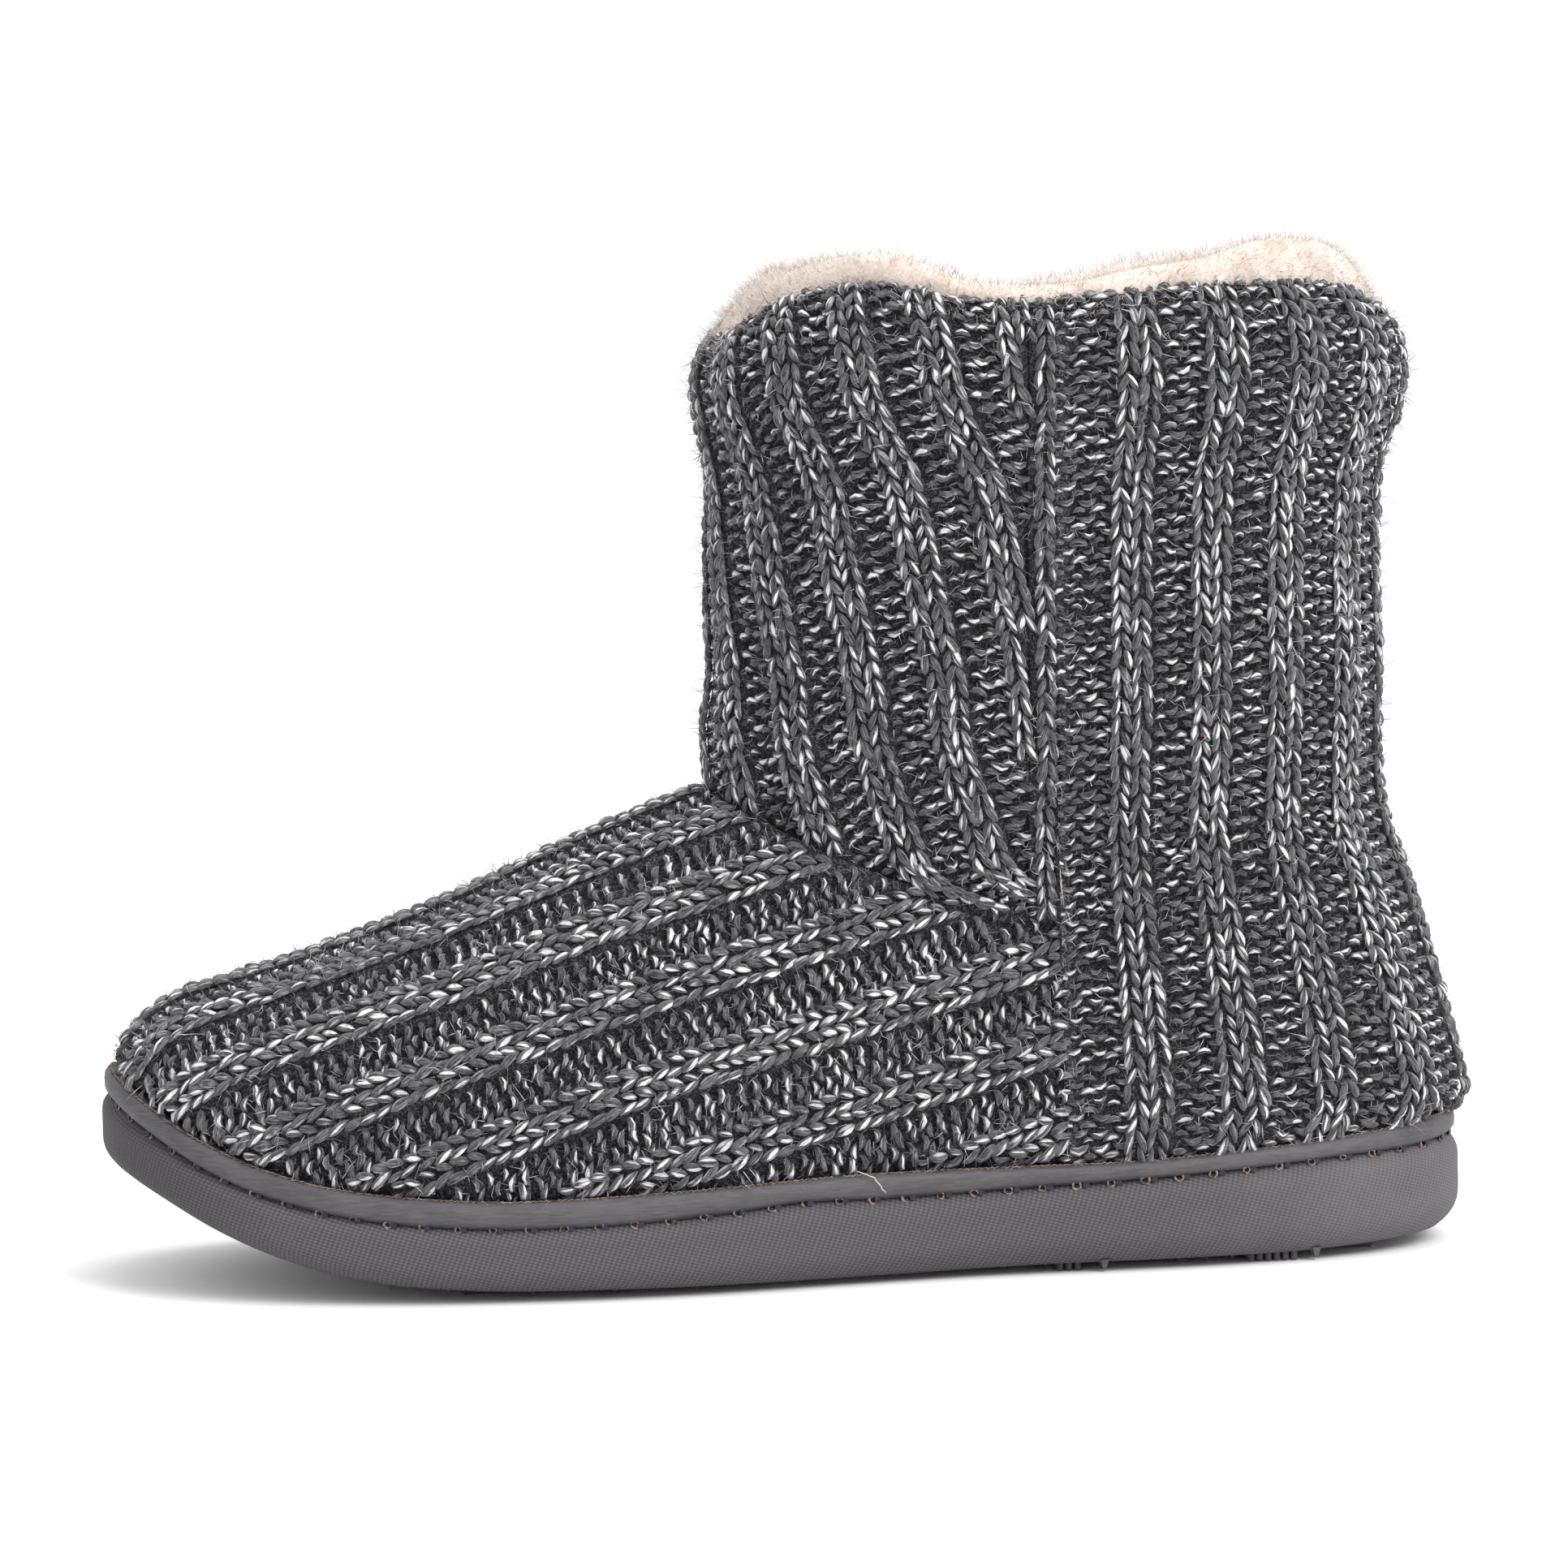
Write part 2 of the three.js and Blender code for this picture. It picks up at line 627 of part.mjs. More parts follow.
// Shaft back and quarters: upright ribs from the rim to the sole, spreading over the heel
function shaftBackSolid() {
  const columns = [{ at: 0, raised: 0 }];
  for (let k = 0; k < backRib.count; k += 1) {
    const share = backRib.firstShare + k * backRib.stepShare;
    columns.push(...ribEdges(share, backRib, 1 / backPanelLength));
  }
  columns.push({ at: 1, raised: 0 });
  const lines = columns.map((column) => {
    let top = shaftTopZ;
    for (let i = 0; i < 12; i += 1) top = rimZ(ringBehind(top, column.at, upperInset).x);
    const low = ringBehind(25, column.at, upperInset);
    return { ...column, top, foot: wallFootZ(low.x) };
  });
  const rows = backStations.map((share) => lines.map((line) => {
    const z = mix(line.top, line.foot, share);
    return ringBehind(z, line.at, upperInset);
  }));
  const normals = sheetNormals(rows);
  rows.forEach((row, j) => row.forEach((point, i) => {
    const line = lines[i];
    const fromTop = line.top - point.z;
    const fromSole = point.z - randTopZ(point.x);
    const fade = mix(0.55, 1, ease(fromTop / 6)) * ease((fromSole - 0.6) / 4);
    const roll = rimRoll * (1 - ease(fromTop / rimRollHeight));
    point.addScaledVector(normals[j][i], line.raised * ribHeight * fade - roll);
  }));
  rows.push(rows[rows.length - 1].map((point, i) => (
    new THREE.Vector3(point.x, point.y, lines[i].foot)
  )));
  return fillSheet(
    rows,
    new THREE.Vector3(sideSeamX, 0, shaftTopZ),
    new THREE.Vector3(sideSeamX, 0, wallFootZ(sideSeamX)),
  );
}

// Smooth volume inside the shoe at an inset: arches of the forefoot joined to the rings of the shaft
function innerVolume(inset, topOf, lowOf, round) {
  const arches = innerVampStations.map((share) => {
    const x = mix(toeX + inset + 0.3, heelCentreX - inset / 4, share);
    const ring = [];
    const half = Math.round(round / 2);
    for (let i = -half; i <= half; i += 1) {
      const sign = i < 0 ? 1 : -1;
      const section = archSection(x, sign, inset);
      ring.push(vampPoint(x, sign, Math.abs(i / half) * section.reach, inset));
    }
    const left = ring[ring.length - 1];
    const right = ring[0];
    ring.push(new THREE.Vector3(left.x, left.y, lowOf(left.x)));
    ring.push(new THREE.Vector3(right.x, right.y, lowOf(right.x)));
    return ring;
  });
  const first = arches[0];
  const last = arches[arches.length - 1];
  const centre = (ring) => new THREE.Vector3(ring[0].x, 0, mix(ring[0].z, lowOf(ring[0].x), 0.5));
  const forefoot = loft(arches, centre(first), centre(last));
  const rings = innerShaftStations.map((share) => {
    const ring = [];
    for (let i = 0; i < round; i += 1) {
      const angle = (i / round) * 2 * Math.PI;
      const sign = angle > Math.PI ? 1 : -1;
      const turn = angle > Math.PI ? 2 * Math.PI - angle : angle;
      const top = topOf(ringPoint(shaftTopZ, turn, sign, inset).x);
      const foot = wallFootZ(ringPoint(25, turn, sign, inset).x);
      ring.push(ringPoint(mix(top, foot, share), turn, sign, inset));
    }
    return ring;
  });
  rings.push(rings[rings.length - 1].map((p) => new THREE.Vector3(p.x, p.y, lowOf(p.x))));
  const shaft = loft(
    rings,
    new THREE.Vector3(heelCentreX, 0, topOf(heelCentreX)),
    new THREE.Vector3(heelCentreX, 0, lowOf(heelCentreX)),
  );
  return forefoot.add(shaft);
}

// Closed path round the footprint at an inset, even by length
function footprintPath(inset, count) {
  const fine = [];
  const half = 160;
  for (let i = 0; i < 2 * half; i += 1) {
    const sign = i < half ? -1 : 1;
    const t = i < half ? i / half : 2 - i / half;
    const x = mix(toeX + inset, heelX - inset, (1 - Math.cos(Math.PI * t)) / 2);
    fine.push(new THREE.Vector3(x, midline(x) + sign * footHalf(x, sign, inset), 0));
  }
  const curve = new THREE.CatmullRomCurve3(fine, true);
  curve.arcLengthDivisions = 1200;
  return curve.getSpacedPoints(count).slice(0, count);
}

// Sole: moulded side rounded at its lower edge, wedge under the heel, raised waist and lugs
function soleBody(lift) {
  const path = footprintPath(0, soleRound);
  const levels = [
    { inset: 4.0, share: 0 },
    { inset: 1.5, share: 0.15 },
    { inset: 0.2, share: 0.42 },
    { inset: 0.2, share: 0.68 },
    { inset: 1.0, share: 0.88 },
    { inset: 2.2, share: 0.98 },
    { inset: 3.6, share: 1 },
  ];
  return slab(levels.map((level) => path.map((p) => {
    const point = insetPoint(path, p, level);
    return point.setZ(point.z + lift);
  })));
}

// Underside of the sole, raised under the arch on the medial side
function soleUnder(x, y) {
  const along = clamp((x - 120) / 60, 0, 1);
  const across = ease((y + 8) / 34);
  return undersideZ(x) + archRise * Math.sin(Math.PI * along) ** 2 * across;
}

// Point of the sole's side: drawn in along the plan normal, lifted by its share of the side's height
function insetPoint(path, point, level) {
  const i = path.indexOf(point);
  const before = path[(i + path.length - 1) % path.length];
  const after = path[(i + 1) % path.length];
  const run = after.clone().sub(before).setZ(0).normalize();
  const inward = new THREE.Vector3(-run.y, run.x, 0);
  const drawn = point.clone().addScaledVector(inward, level.inset);
  const z = mix(soleUnder(point.x, point.y), stitchZ(point.x), level.share);
  return new THREE.Vector3(drawn.x, drawn.y, z);
}

const lugRows = [
  { x: 74, length: 9, lateralInset: 15 },
  { x: 90, length: 9, lateralInset: 15 },
  { x: 106, length: 9, lateralInset: 15 },
  { x: 122, length: 9, lateralInset: 15 },
  { x: 188, length: 6, lateralInset: 6 },
  { x: 203, length: 9, lateralInset: 13 },
  { x: 228, length: 10, lateralInset: 6 },
  { x: 246, length: 8, lateralInset: 13 },
];

// Lugs: three to a row across the tread, standing on the floor
function lugs() {
  const solids = [];
  lugRows.forEach((row) => {
    const left = footHalf(row.x, -1, row.lateralInset);
    const right = footHalf(row.x, 1, lugInset);
    const width = (left + right - 2 * lugGap) / 3;
    for (let k = 0; k < 3; k += 1) {
      const start = midline(row.x) - left + k * (width + lugGap);
      const top = undersideZ(row.x) + lugRoot;
      const geometry = new THREE.BoxGeometry(row.length, width, top);
      geometry.translate(row.x, start + width / 2, top / 2);
      solids.push(solidOf(geometry));
    }
  });
  return solids;
}

// Rand: smooth binding strip between the sole's side and the knit
function randSolid(grow) {
  const path = footprintPath(0, soleRound);
  const profile = [
    { inset: 1.9 - 4 * grow, share: 0, lift: 0.3 - 2 * grow },
    { inset: 1.2 - 4 * grow, share: 0.35, lift: 0 },
    { inset: 1.3 - 4 * grow, share: 0.7, lift: grow },
    { inset: 2.4 - 4 * grow, share: 0.97, lift: grow },
    { inset: randInnerInset + grow, share: 0.94, lift: grow },
    { inset: randInnerInset + grow, share: 0, lift: 0.3 - 2 * grow },
  ];
  const sections = path.map((point) => profile.map((level) => {
    const flat = insetPoint(path, point, { inset: level.inset, share: 1 });
    flat.z = mix(stitchZ(point.x), randTopZ(point.x), level.share) + level.lift;
    return flat;
  }));
  return hoop(sections);
}

// Insole: pad that rests on the sole, inside the lining
function insoleSolid(inset) {
  const path = footprintPath(inset, insoleRound);
  const rings = [-seatSink, insoleThickness].map((lift) => path.map((p) => (
    new THREE.Vector3(p.x, p.y, stitchZ(p.x) + lift)
  )));
  return slab(rings).subtract(seat);
}

// Prism under the top of the plush, seen from the side
function underPlush() {
  const [first, last] = [-blockSize, blockSize];
  const outline = [[first, 0], [first, plushZ(first)]];
  for (let x = 122; x <= 260; x += 6) outline.push([x, plushZ(x)]);
  outline.push([last, plushZ(last)], [last, 0]);
  const shape = new THREE.Shape(outline.map(([x, z]) => new THREE.Vector2(x, z)));
  const geometry = new THREE.ExtrudeGeometry(shape, { depth: blockSize, bevelEnabled: false, steps: 1 });
  geometry.translate(0, 0, -blockSize / 2);
  geometry.rotateX(Math.PI / 2);
  return solidOf(geometry);
}

// Closed solid from a plain geometry
function solidOf(geometry) {
  geometry.deleteAttribute('normal');
  geometry.deleteAttribute('uv');
  const merged = mergeVertices(geometry);
  return solidFrom([...merged.attributes.position.array], [...merged.index.array]);
}

// Everything above the knitted rim or below the sole's top, to open the walls
const overRim = () => aboveRimZ;
const underSole = (x) => stitchZ(x) - belowSeat;
const cavity = innerVolume(upperInset + wallThickness, overRim, underSole, innerRound);
const outsole = lugs().reduce((sum, lug) => sum.add(lug), soleBody(0));
const seat = soleBody(seatGap);
const walls = vampSolid().add(shaftFrontSolid()).add(shaftBackSolid());
const upper = walls.subtract(cavity).subtract(seat).subtract(randSolid(seatGap));

const liningOuterInset = upperInset + wallThickness + liningGap;
const liningInnerInset = liningOuterInset + pileDepth;
const liningOuter = innerVolume(liningOuterInset, overRim, wallFootZ, innerRound);
const liningInner = innerVolume(liningInnerInset, overRim, underSole, pileRound);
const lining = liningOuter.subtract(liningInner).intersect(underPlush()).subtract(seat);

function meshOf(solid, name, colour, roughness, metalness) {
  const data = solid.getMesh();
  const geometry = new THREE.BufferGeometry();
  geometry.setAttribute('position', new THREE.Float32BufferAttribute(data.vertProperties, 3));
  geometry.setIndex([...data.triVerts]);
  const material = new THREE.MeshStandardMaterial({ color: colour, roughness, metalness });
  const mesh = new THREE.Mesh(geometry, material);
  mesh.name = name;
  return mesh;
}

const group = new THREE.Group();
group.name = 'knit_bootie_slipper';
group.add(meshOf(upper, 'upper', 0x56565a, 0.95, 0));
group.add(meshOf(lining, 'plush_lining', 0xe9dcd2, 1, 0));
group.add(meshOf(outsole, 'outsole', 0x5d585b, 0.8, 0));
group.add(meshOf(randSolid(0), 'rand', 0x68676a, 0.55, 0));
group.add(meshOf(insoleSolid(liningInnerInset + insoleClearance), 'insole', 0xdccfc4, 1, 0));

// Origin under the middle of the box round the whole slipper
const box = new THREE.Box3().setFromObject(group);
const middle = box.getCenter(new THREE.Vector3());
group.children.forEach((mesh) => mesh.geometry.translate(-middle.x, -middle.y, -box.min.z));

export default group;
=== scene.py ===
# Knit bootie slipper: knitted stitches, plush pile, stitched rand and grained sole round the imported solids
import math
import bmesh
import bpy
import numpy as np
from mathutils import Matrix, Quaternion, Vector


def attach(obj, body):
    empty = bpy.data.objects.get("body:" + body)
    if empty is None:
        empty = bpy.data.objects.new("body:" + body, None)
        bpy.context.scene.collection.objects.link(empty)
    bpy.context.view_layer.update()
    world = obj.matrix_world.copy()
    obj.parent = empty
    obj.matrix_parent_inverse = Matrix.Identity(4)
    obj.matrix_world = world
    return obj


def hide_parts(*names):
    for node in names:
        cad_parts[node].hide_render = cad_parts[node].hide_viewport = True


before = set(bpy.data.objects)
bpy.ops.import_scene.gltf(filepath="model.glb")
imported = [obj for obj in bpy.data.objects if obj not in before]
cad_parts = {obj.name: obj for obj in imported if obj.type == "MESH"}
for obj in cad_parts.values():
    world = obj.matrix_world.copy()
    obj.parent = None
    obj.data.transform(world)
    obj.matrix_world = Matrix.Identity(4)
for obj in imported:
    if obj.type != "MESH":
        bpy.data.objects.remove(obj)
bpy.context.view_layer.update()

# Sizes are millimetres from the toe end and the floor, as the solids were drawn
rowOrigin = np.array([136.5, 0.06, 0.0])
rng = np.random.default_rng(21)

last = {
    "toeX": 1.5, "heelX": 270.0, "heelCentreX": 188.0, "toeInturn": 5.0, "toePower": 2.5, "heelPower": 2.6,
    "ballX": {-1: 100.0, 1: 82.0}, "ballHalf": 48.5, "heelHalf": 38.0, "waistDip": {-1: 0.5, 1: 3.5},
    "upperInset": 2.6, "featherTuck": 2.5, "tuckHeight": 3.0, "ringPower": 2.2,
    "sideSeamX": 187.0, "cornerZ": 67.0, "throatFrontZ": 95.0, "shaftTopZ": 187.0, "frontSlant": 16.0,
    "backPanelLength": 166.0,
}
soleHeights = {
    "x": [0, 10, 20, 32, 44, 60, 80, 110, 150, 190, 230, 270],
    "underside": [23.4, 18.8, 13.8, 9.0, 5.6, 3.2, 2.1, 1.8, 1.6, 1.9, 2.0, 3.2],
    "stitchLine": [38.2, 31.4, 25.6, 20.8, 17.8, 15.6, 14.6, 15.0, 16.0, 17.0, 19.0, 22.0],
    "randTop": [42.4, 35.8, 30.2, 25.4, 22.4, 20.4, 19.4, 20.2, 21.4, 21.2, 23.0, 26.2],
}
instepLine = {
    "x": [0, 4, 8, 12, 16, 24, 38, 64, 97, 118, 150, 205],
    "ridge": [40.4, 44.2, 48.6, 52.6, 55.0, 57.7, 61.7, 70.7, 84.8, 93.0, 106.0, 126.0],
}
shaftOutline = {
    "z": [20, 26, 31, 37, 45, 65, 75, 83, 95, 104, 116, 133, 152, 164, 172, 180, 186, 196],
    "front": [150, 144, 140, 136, 130, 124, 122.4, 121.8, 121.8, 121.4, 123, 122.8, 123.2, 121.6, 120.6,
              122.6, 127, 134],
    "back": [267.2, 267.8, 271.4, 270.4, 268.2, 263, 260.2, 257.2, 255.2, 255.2, 255.6, 255, 255.6, 259.6,
             261.2, 260, 256.6, 251],
    "half": [36, 36, 36, 35.8, 35.4, 34.2, 34.2, 34.6, 35.6, 36.2, 36.8, 37.6, 38.8, 41.4, 43, 43.4, 43, 42],
}
collarLine = {
    "x": [120, 126, 131, 138, 150, 160, 170, 184, 200, 220, 236, 248, 254, 262],
    "rim": [180, 183.4, 187.4, 191, 192.8, 191.8, 189.4, 189.4, 190.4, 191.6, 191.4, 189.8, 186.4, 182],
    "plush": [184, 187.4, 191.4, 195.2, 198.2, 196.6, 193.8, 191.6, 193.6, 197.8, 199.4, 197, 191.8, 186],
}
throatSeam = {
    "x": [116, 121, 127, 134, 142, 152, 162, 174, 187, 210],
    "z": [97.5, 94.6, 90.4, 86, 81.8, 77.4, 73.6, 70, 67, 62],
}


def ease(t):
    c = np.clip(t, 0, 1)
    return c * c * (3 - 2 * c)


def blend(a, b, t):
    return a + (b - a) * t


def track(table, key, column):
    # the same smooth line through a table as the solids follow
    xs, ys = np.array(table[key], float), np.array(table[column], float)
    step = np.diff(ys) / np.diff(xs)
    slope = np.zeros_like(ys)
    slope[0], slope[-1] = step[0], step[-1]
    before, after = step[:-1], step[1:]
    turns = before * after <= 0
    slope[1:-1] = np.where(turns, 0, 2 * before * after / np.where(turns, 1, before + after))

    def line(at):
        value = np.clip(at, xs[0], xs[-1])
        i = np.clip(np.searchsorted(xs, value, side="right") - 1, 0, len(xs) - 2)
        span = xs[i + 1] - xs[i]
        t = (value - xs[i]) / span
        low = (2 * t ** 3 - 3 * t ** 2 + 1) * ys[i] + (t ** 3 - 2 * t ** 2 + t) * span * slope[i]
        return low + (3 * t ** 2 - 2 * t ** 3) * ys[i + 1] + (t ** 3 - t ** 2) * span * slope[i + 1]
    return line


undersideZ = track(soleHeights, "x", "underside")
stitchZ = track(soleHeights, "x", "stitchLine")
randTopZ = track(soleHeights, "x", "randTop")
ridgeZ = track(instepLine, "x", "ridge")
shaftFront = track(shaftOutline, "z", "front")
shaftBack = track(shaftOutline, "z", "back")
shaftHalf = track(shaftOutline, "z", "half")
rimZ = track(collarLine, "x", "rim")
plushZ = track(collarLine, "x", "plush")
throatZ = track(throatSeam, "x", "z")


def midline(x):
    return last["toeInturn"] * np.maximum(0, 1 - x / last["ballX"][-1]) ** 2


def footHalf(x, sign, inset):
    x = np.asarray(x, float)
    centre, ballX = last["heelCentreX"], last["ballX"][sign]
    toePower, heelPower = last["toePower"], last["heelPower"]
    heelT = np.clip((x - centre) / (last["heelX"] - inset - centre), 0, 1)
    heel = (last["heelHalf"] - inset) * (1 - heelT ** heelPower) ** (1 / heelPower)
    toeT = np.clip((ballX - x) / (ballX - last["toeX"] - inset), 0, 1)
    toe = (last["ballHalf"] - inset) * (1 - toeT ** toePower) ** (1 / toePower)
    t = np.clip((x - ballX) / (centre - ballX), 0, 1)
    waist = blend(last["ballHalf"], last["heelHalf"], ease(t)) - inset
    waist = waist - last["waistDip"][sign] * np.sin(np.pi * t) ** 2
    return np.where(x >= centre, heel, np.where(x <= ballX, toe, waist))


def archPower(x):
    return blend(2.3, 2.0, ease((x - 20) / 90))


def tuck(x, z):
    return last["featherTuck"] * (1 - ease((z - randTopZ(x)) / last["tuckHeight"]))


class Sheet:
    # a grid of points over two running coordinates, read anywhere between its nodes
    def __init__(self, us, vs, points, runsDown=False):
        self.us, self.vs, self.points = us, vs, points
        along = np.gradient(points, axis=0) * (-1 if runsDown else 1)
        across = np.gradient(points, axis=1)
        normals = np.cross(across, along)
        self.normals = normals / np.maximum(np.linalg.norm(normals, axis=2, keepdims=True), 1e-9)

    def read(self, grid, u, v):
        iu = np.clip(np.interp(u, self.us, np.arange(len(self.us))), 0, len(self.us) - 1.001)
        iv = np.clip(np.interp(v, self.vs, np.arange(len(self.vs))), 0, len(self.vs) - 1.001)
        i, j = iu.astype(int), iv.astype(int)
        s, t = (iu - i)[..., None], (iv - j)[..., None]
        low = grid[i, j] * (1 - t) + grid[i, j + 1] * t
        high = grid[i + 1, j] * (1 - t) + grid[i + 1, j + 1] * t
        return low * (1 - s) + high * s

    def place(self, u, v):
        u, v = np.broadcast_arrays(np.asarray(u, float), np.asarray(v, float))
        return self.read(self.points, u, v)

    def out(self, u, v):
        u, v = np.broadcast_arrays(np.asarray(u, float), np.asarray(v, float))
        n = self.read(self.normals, u, v)
        return n / np.maximum(np.linalg.norm(n, axis=-1, keepdims=True), 1e-9)


def archGrid(inset, xs, reaches):
    # points of the vamp at stations and signed reaches from the ridge, and each side's whole reach
    angles = np.linspace(0, np.pi / 2, 97)
    points = np.zeros((len(xs), len(reaches), 3))
    whole = {}
    for sign in (-1, 1):
        half = footHalf(xs, sign, inset)
        foot = randTopZ(xs)
        rise = np.maximum(0.4, ridgeZ(xs) - foot - (inset - last["upperInset"]))
        power = 2 / archPower(xs)[:, None]
        out = half[:, None] * np.sin(angles)[None] ** power
        up = rise[:, None] * np.clip(np.cos(angles), 0, 1)[None] ** power
        run = np.hypot(np.diff(out, axis=1), np.diff(up, axis=1))
        reach = np.concatenate([np.zeros((len(xs), 1)), np.cumsum(run, axis=1)], axis=1)
        whole[sign] = reach[:, -1]
        widening = footHalf(xs + 0.3, sign, inset) - footHalf(xs - 0.3, sign, inset)
        size = np.hypot(widening, 0.6)
        side = (reaches <= 0) if sign > 0 else (reaches >= 0)
        for i in range(len(xs)):
            o = np.interp(np.abs(reaches[side]), reach[i], out[i])
            z = foot[i] + np.interp(np.abs(reaches[side]), reach[i], up[i])
            drawn = tuck(xs[i], z)
            points[i, side, 0] = xs[i] + drawn * widening[i] / size[i]
            points[i, side, 1] = midline(xs[i]) + sign * np.maximum(0, o - drawn * 0.6 / size[i])
            points[i, side, 2] = z
    return points, whole


def archHalf(x, sign, z, inset):
    rise = ridgeZ(x) - randTopZ(x) - (inset - last["upperInset"])
    t = np.clip((z - randTopZ(x)) / rise, 0, 1)
    power = archPower(x)
    return footHalf(x, sign, inset) * (1 - t ** power) ** (1 / power)


seamXs = np.linspace(throatSeam["x"][0], last["sideSeamX"], 400)
seamZs = throatZ(seamXs)


def throatX(z):
    return np.interp(-z, -seamZs, seamXs)


def ringGrid(inset, zs, reaches):
    # points of the shaft at heights and signed lengths round from the front, lateral side positive
    angles = np.linspace(0, np.pi, 121)
    points = np.zeros((len(zs), len(reaches), 3))
    ends, seams = [{sign: np.zeros(len(zs)) for sign in (-1, 1)} for _ in range(2)]
    centre, upperInset = last["heelCentreX"], last["upperInset"]
    for i, z in enumerate(zs):
        half = blend(archHalf(centre, 1, z, upperInset), shaftHalf(z), ease((z - 60) / 40))
        front = centre - shaftFront(z)
        if z < last["throatFrontZ"]:
            level = max(z, last["cornerZ"] + 2)
            seamX = throatX(level)
            share = np.clip(archHalf(seamX, 1, level, upperInset) / half, 0, 0.985)
            power = last["ringPower"]
            front = np.clip((centre - seamX) / (1 - share ** power) ** (1 / power), 50, front)
        more = inset - upperInset
        half, front, back = half - more, front - more, shaftBack(z) - centre - more
        backPower = blend(last["heelPower"], last["ringPower"], ease((z - 40) / 60))
        c, s = np.cos(angles), np.clip(np.sin(angles), 0, 1)
        power = 2 / np.where(c > 0, last["ringPower"], backPower)
        along = np.abs(c) ** power * np.where(c > 0, -front, back)
        out = half * s ** power
        drawn = tuck(centre + along, z)
        size = np.maximum(np.hypot(along, out), 1e-9)
        x = centre + along - along / size * drawn
        y = out - out / size * drawn
        run = np.concatenate([[0], np.cumsum(np.hypot(np.diff(x), np.diff(y)))])
        for sign in (-1, 1):
            side = (reaches >= 0) if sign < 0 else (reaches < 0)
            r = np.abs(reaches[side])
            points[i, side, 0] = np.interp(r, run, x)
            points[i, side, 1] = sign * np.interp(r, run, y)
            points[i, side, 2] = z
            ends[sign][i] = run[-1]
            seams[sign][i] = np.interp(last["sideSeamX"], x, run)
    return points, ends, seams


# The three knitted panels as sheets. Shaft sheets run down from the rim, and roll in over it
rimRoll = 1.9
vampXs = last["toeX"] + last["upperInset"] + 0.2 + 183 * np.linspace(0, 1, 260) ** 1.5
vampReaches = np.linspace(-112, 112, 281)
vampPoints, vampWhole = archGrid(last["upperInset"], vampXs, vampReaches)
vampSheet = Sheet(vampXs, vampReaches, vampPoints)
ringZs = np.linspace(16, 204, 142)
ringReaches = np.linspace(-190, 190, 381)
ringPoints, ringEnds, ringSeams = ringGrid(last["upperInset"], ringZs, ringReaches)
ringSheet = Sheet(ringZs, ringReaches, ringPoints)


def frontReach(z, v):
    slant = last["frontSlant"] * (z - last["throatFrontZ"]) / (last["shaftTopZ"] - last["throatFrontZ"])
    drawnIn = np.where(z > 172, np.maximum(shaftFront(z) - 121.0, 0), 0) * ease(np.abs(v) / 40)
    return v - slant - np.sign(v) * drawnIn


def backReach(z, v):
    share = v / last["backPanelLength"]
    lateral, medial = np.interp(z, ringZs, ringSeams[-1]), np.interp(z, ringZs, ringSeams[1])
    lateralRest = np.interp(z, ringZs, ringEnds[-1]) - lateral
    medialRest = np.interp(z, ringZs, ringEnds[1]) - medial
    first = np.where(share < 0, lateral + v, lateral + 2 * share * lateralRest)
    past = v - last["backPanelLength"]
    second = np.where(share > 1, -medial + past, -medial - 2 * (1 - share) * medialRest)
    return np.where(share <= 0.5, first, second)


def shaftSheet(drops, vs, reachOf):
    top = np.full(len(vs), last["shaftTopZ"])
    for _ in range(14):
        top = rimZ(ringSheet.place(top, reachOf(top, vs))[:, 0])
    points = np.zeros((len(drops), len(vs), 3))
    edgeZ = top - rimRoll
    edge = ringSheet.place(edgeZ, reachOf(edgeZ, vs))
    inward = -ringSheet.out(edgeZ, reachOf(edgeZ, vs))
    for i, drop in enumerate(drops):
        if drop >= rimRoll:
            points[i] = ringSheet.place(top - drop, reachOf(top - drop, vs))
        else:
            a = (rimRoll - drop) / rimRoll
            points[i] = edge + inward * (rimRoll * (1 - math.cos(a)))
            points[i, :, 2] = edge[:, 2] + rimRoll * math.sin(a)
    return Sheet(drops, vs, points, True), top


frontSheet, frontTop = shaftSheet(np.linspace(-4, 130, 190), np.linspace(-122, 122, 245), frontReach)
backSheet, _ = shaftSheet(np.linspace(-4, 176, 258), np.linspace(-12, 178, 229), backReach)
print("panels drawn")


def newMesh(name, vertices, faces, smooth=True):
    # a mesh object from points in millimetres and lists of corners, in the row's own metres
    mesh = bpy.data.meshes.new(name)
    mesh.from_pydata(((np.asarray(vertices) - rowOrigin) / 1000).tolist(), [], faces)
    mesh.update()
    if smooth:
        mesh.shade_smooth()
    piece = bpy.data.objects.new(name, mesh)
    bpy.context.scene.collection.objects.link(piece)
    return piece


def gridFaces(rows, columns, start=0, aroundU=False, aroundV=False):
    us = np.arange(rows if aroundU else rows - 1)
    vs = np.arange(columns if aroundV else columns - 1)
    i, j = [g.ravel() for g in np.meshgrid(us, vs, indexing="ij")]
    n, m = (i + 1) % rows, (j + 1) % columns
    return np.stack([i * columns + j, i * columns + m, n * columns + m, n * columns + j], axis=1) + start


def facingOut(piece):
    # recalculates a closed mesh's normals outwards after its doubles are merged
    work = bmesh.new()
    work.from_mesh(piece.data)
    bmesh.ops.remove_doubles(work, verts=work.verts, dist=1e-6)
    bmesh.ops.recalc_face_normals(work, faces=work.faces)
    work.to_mesh(piece.data)
    work.free()
    return piece


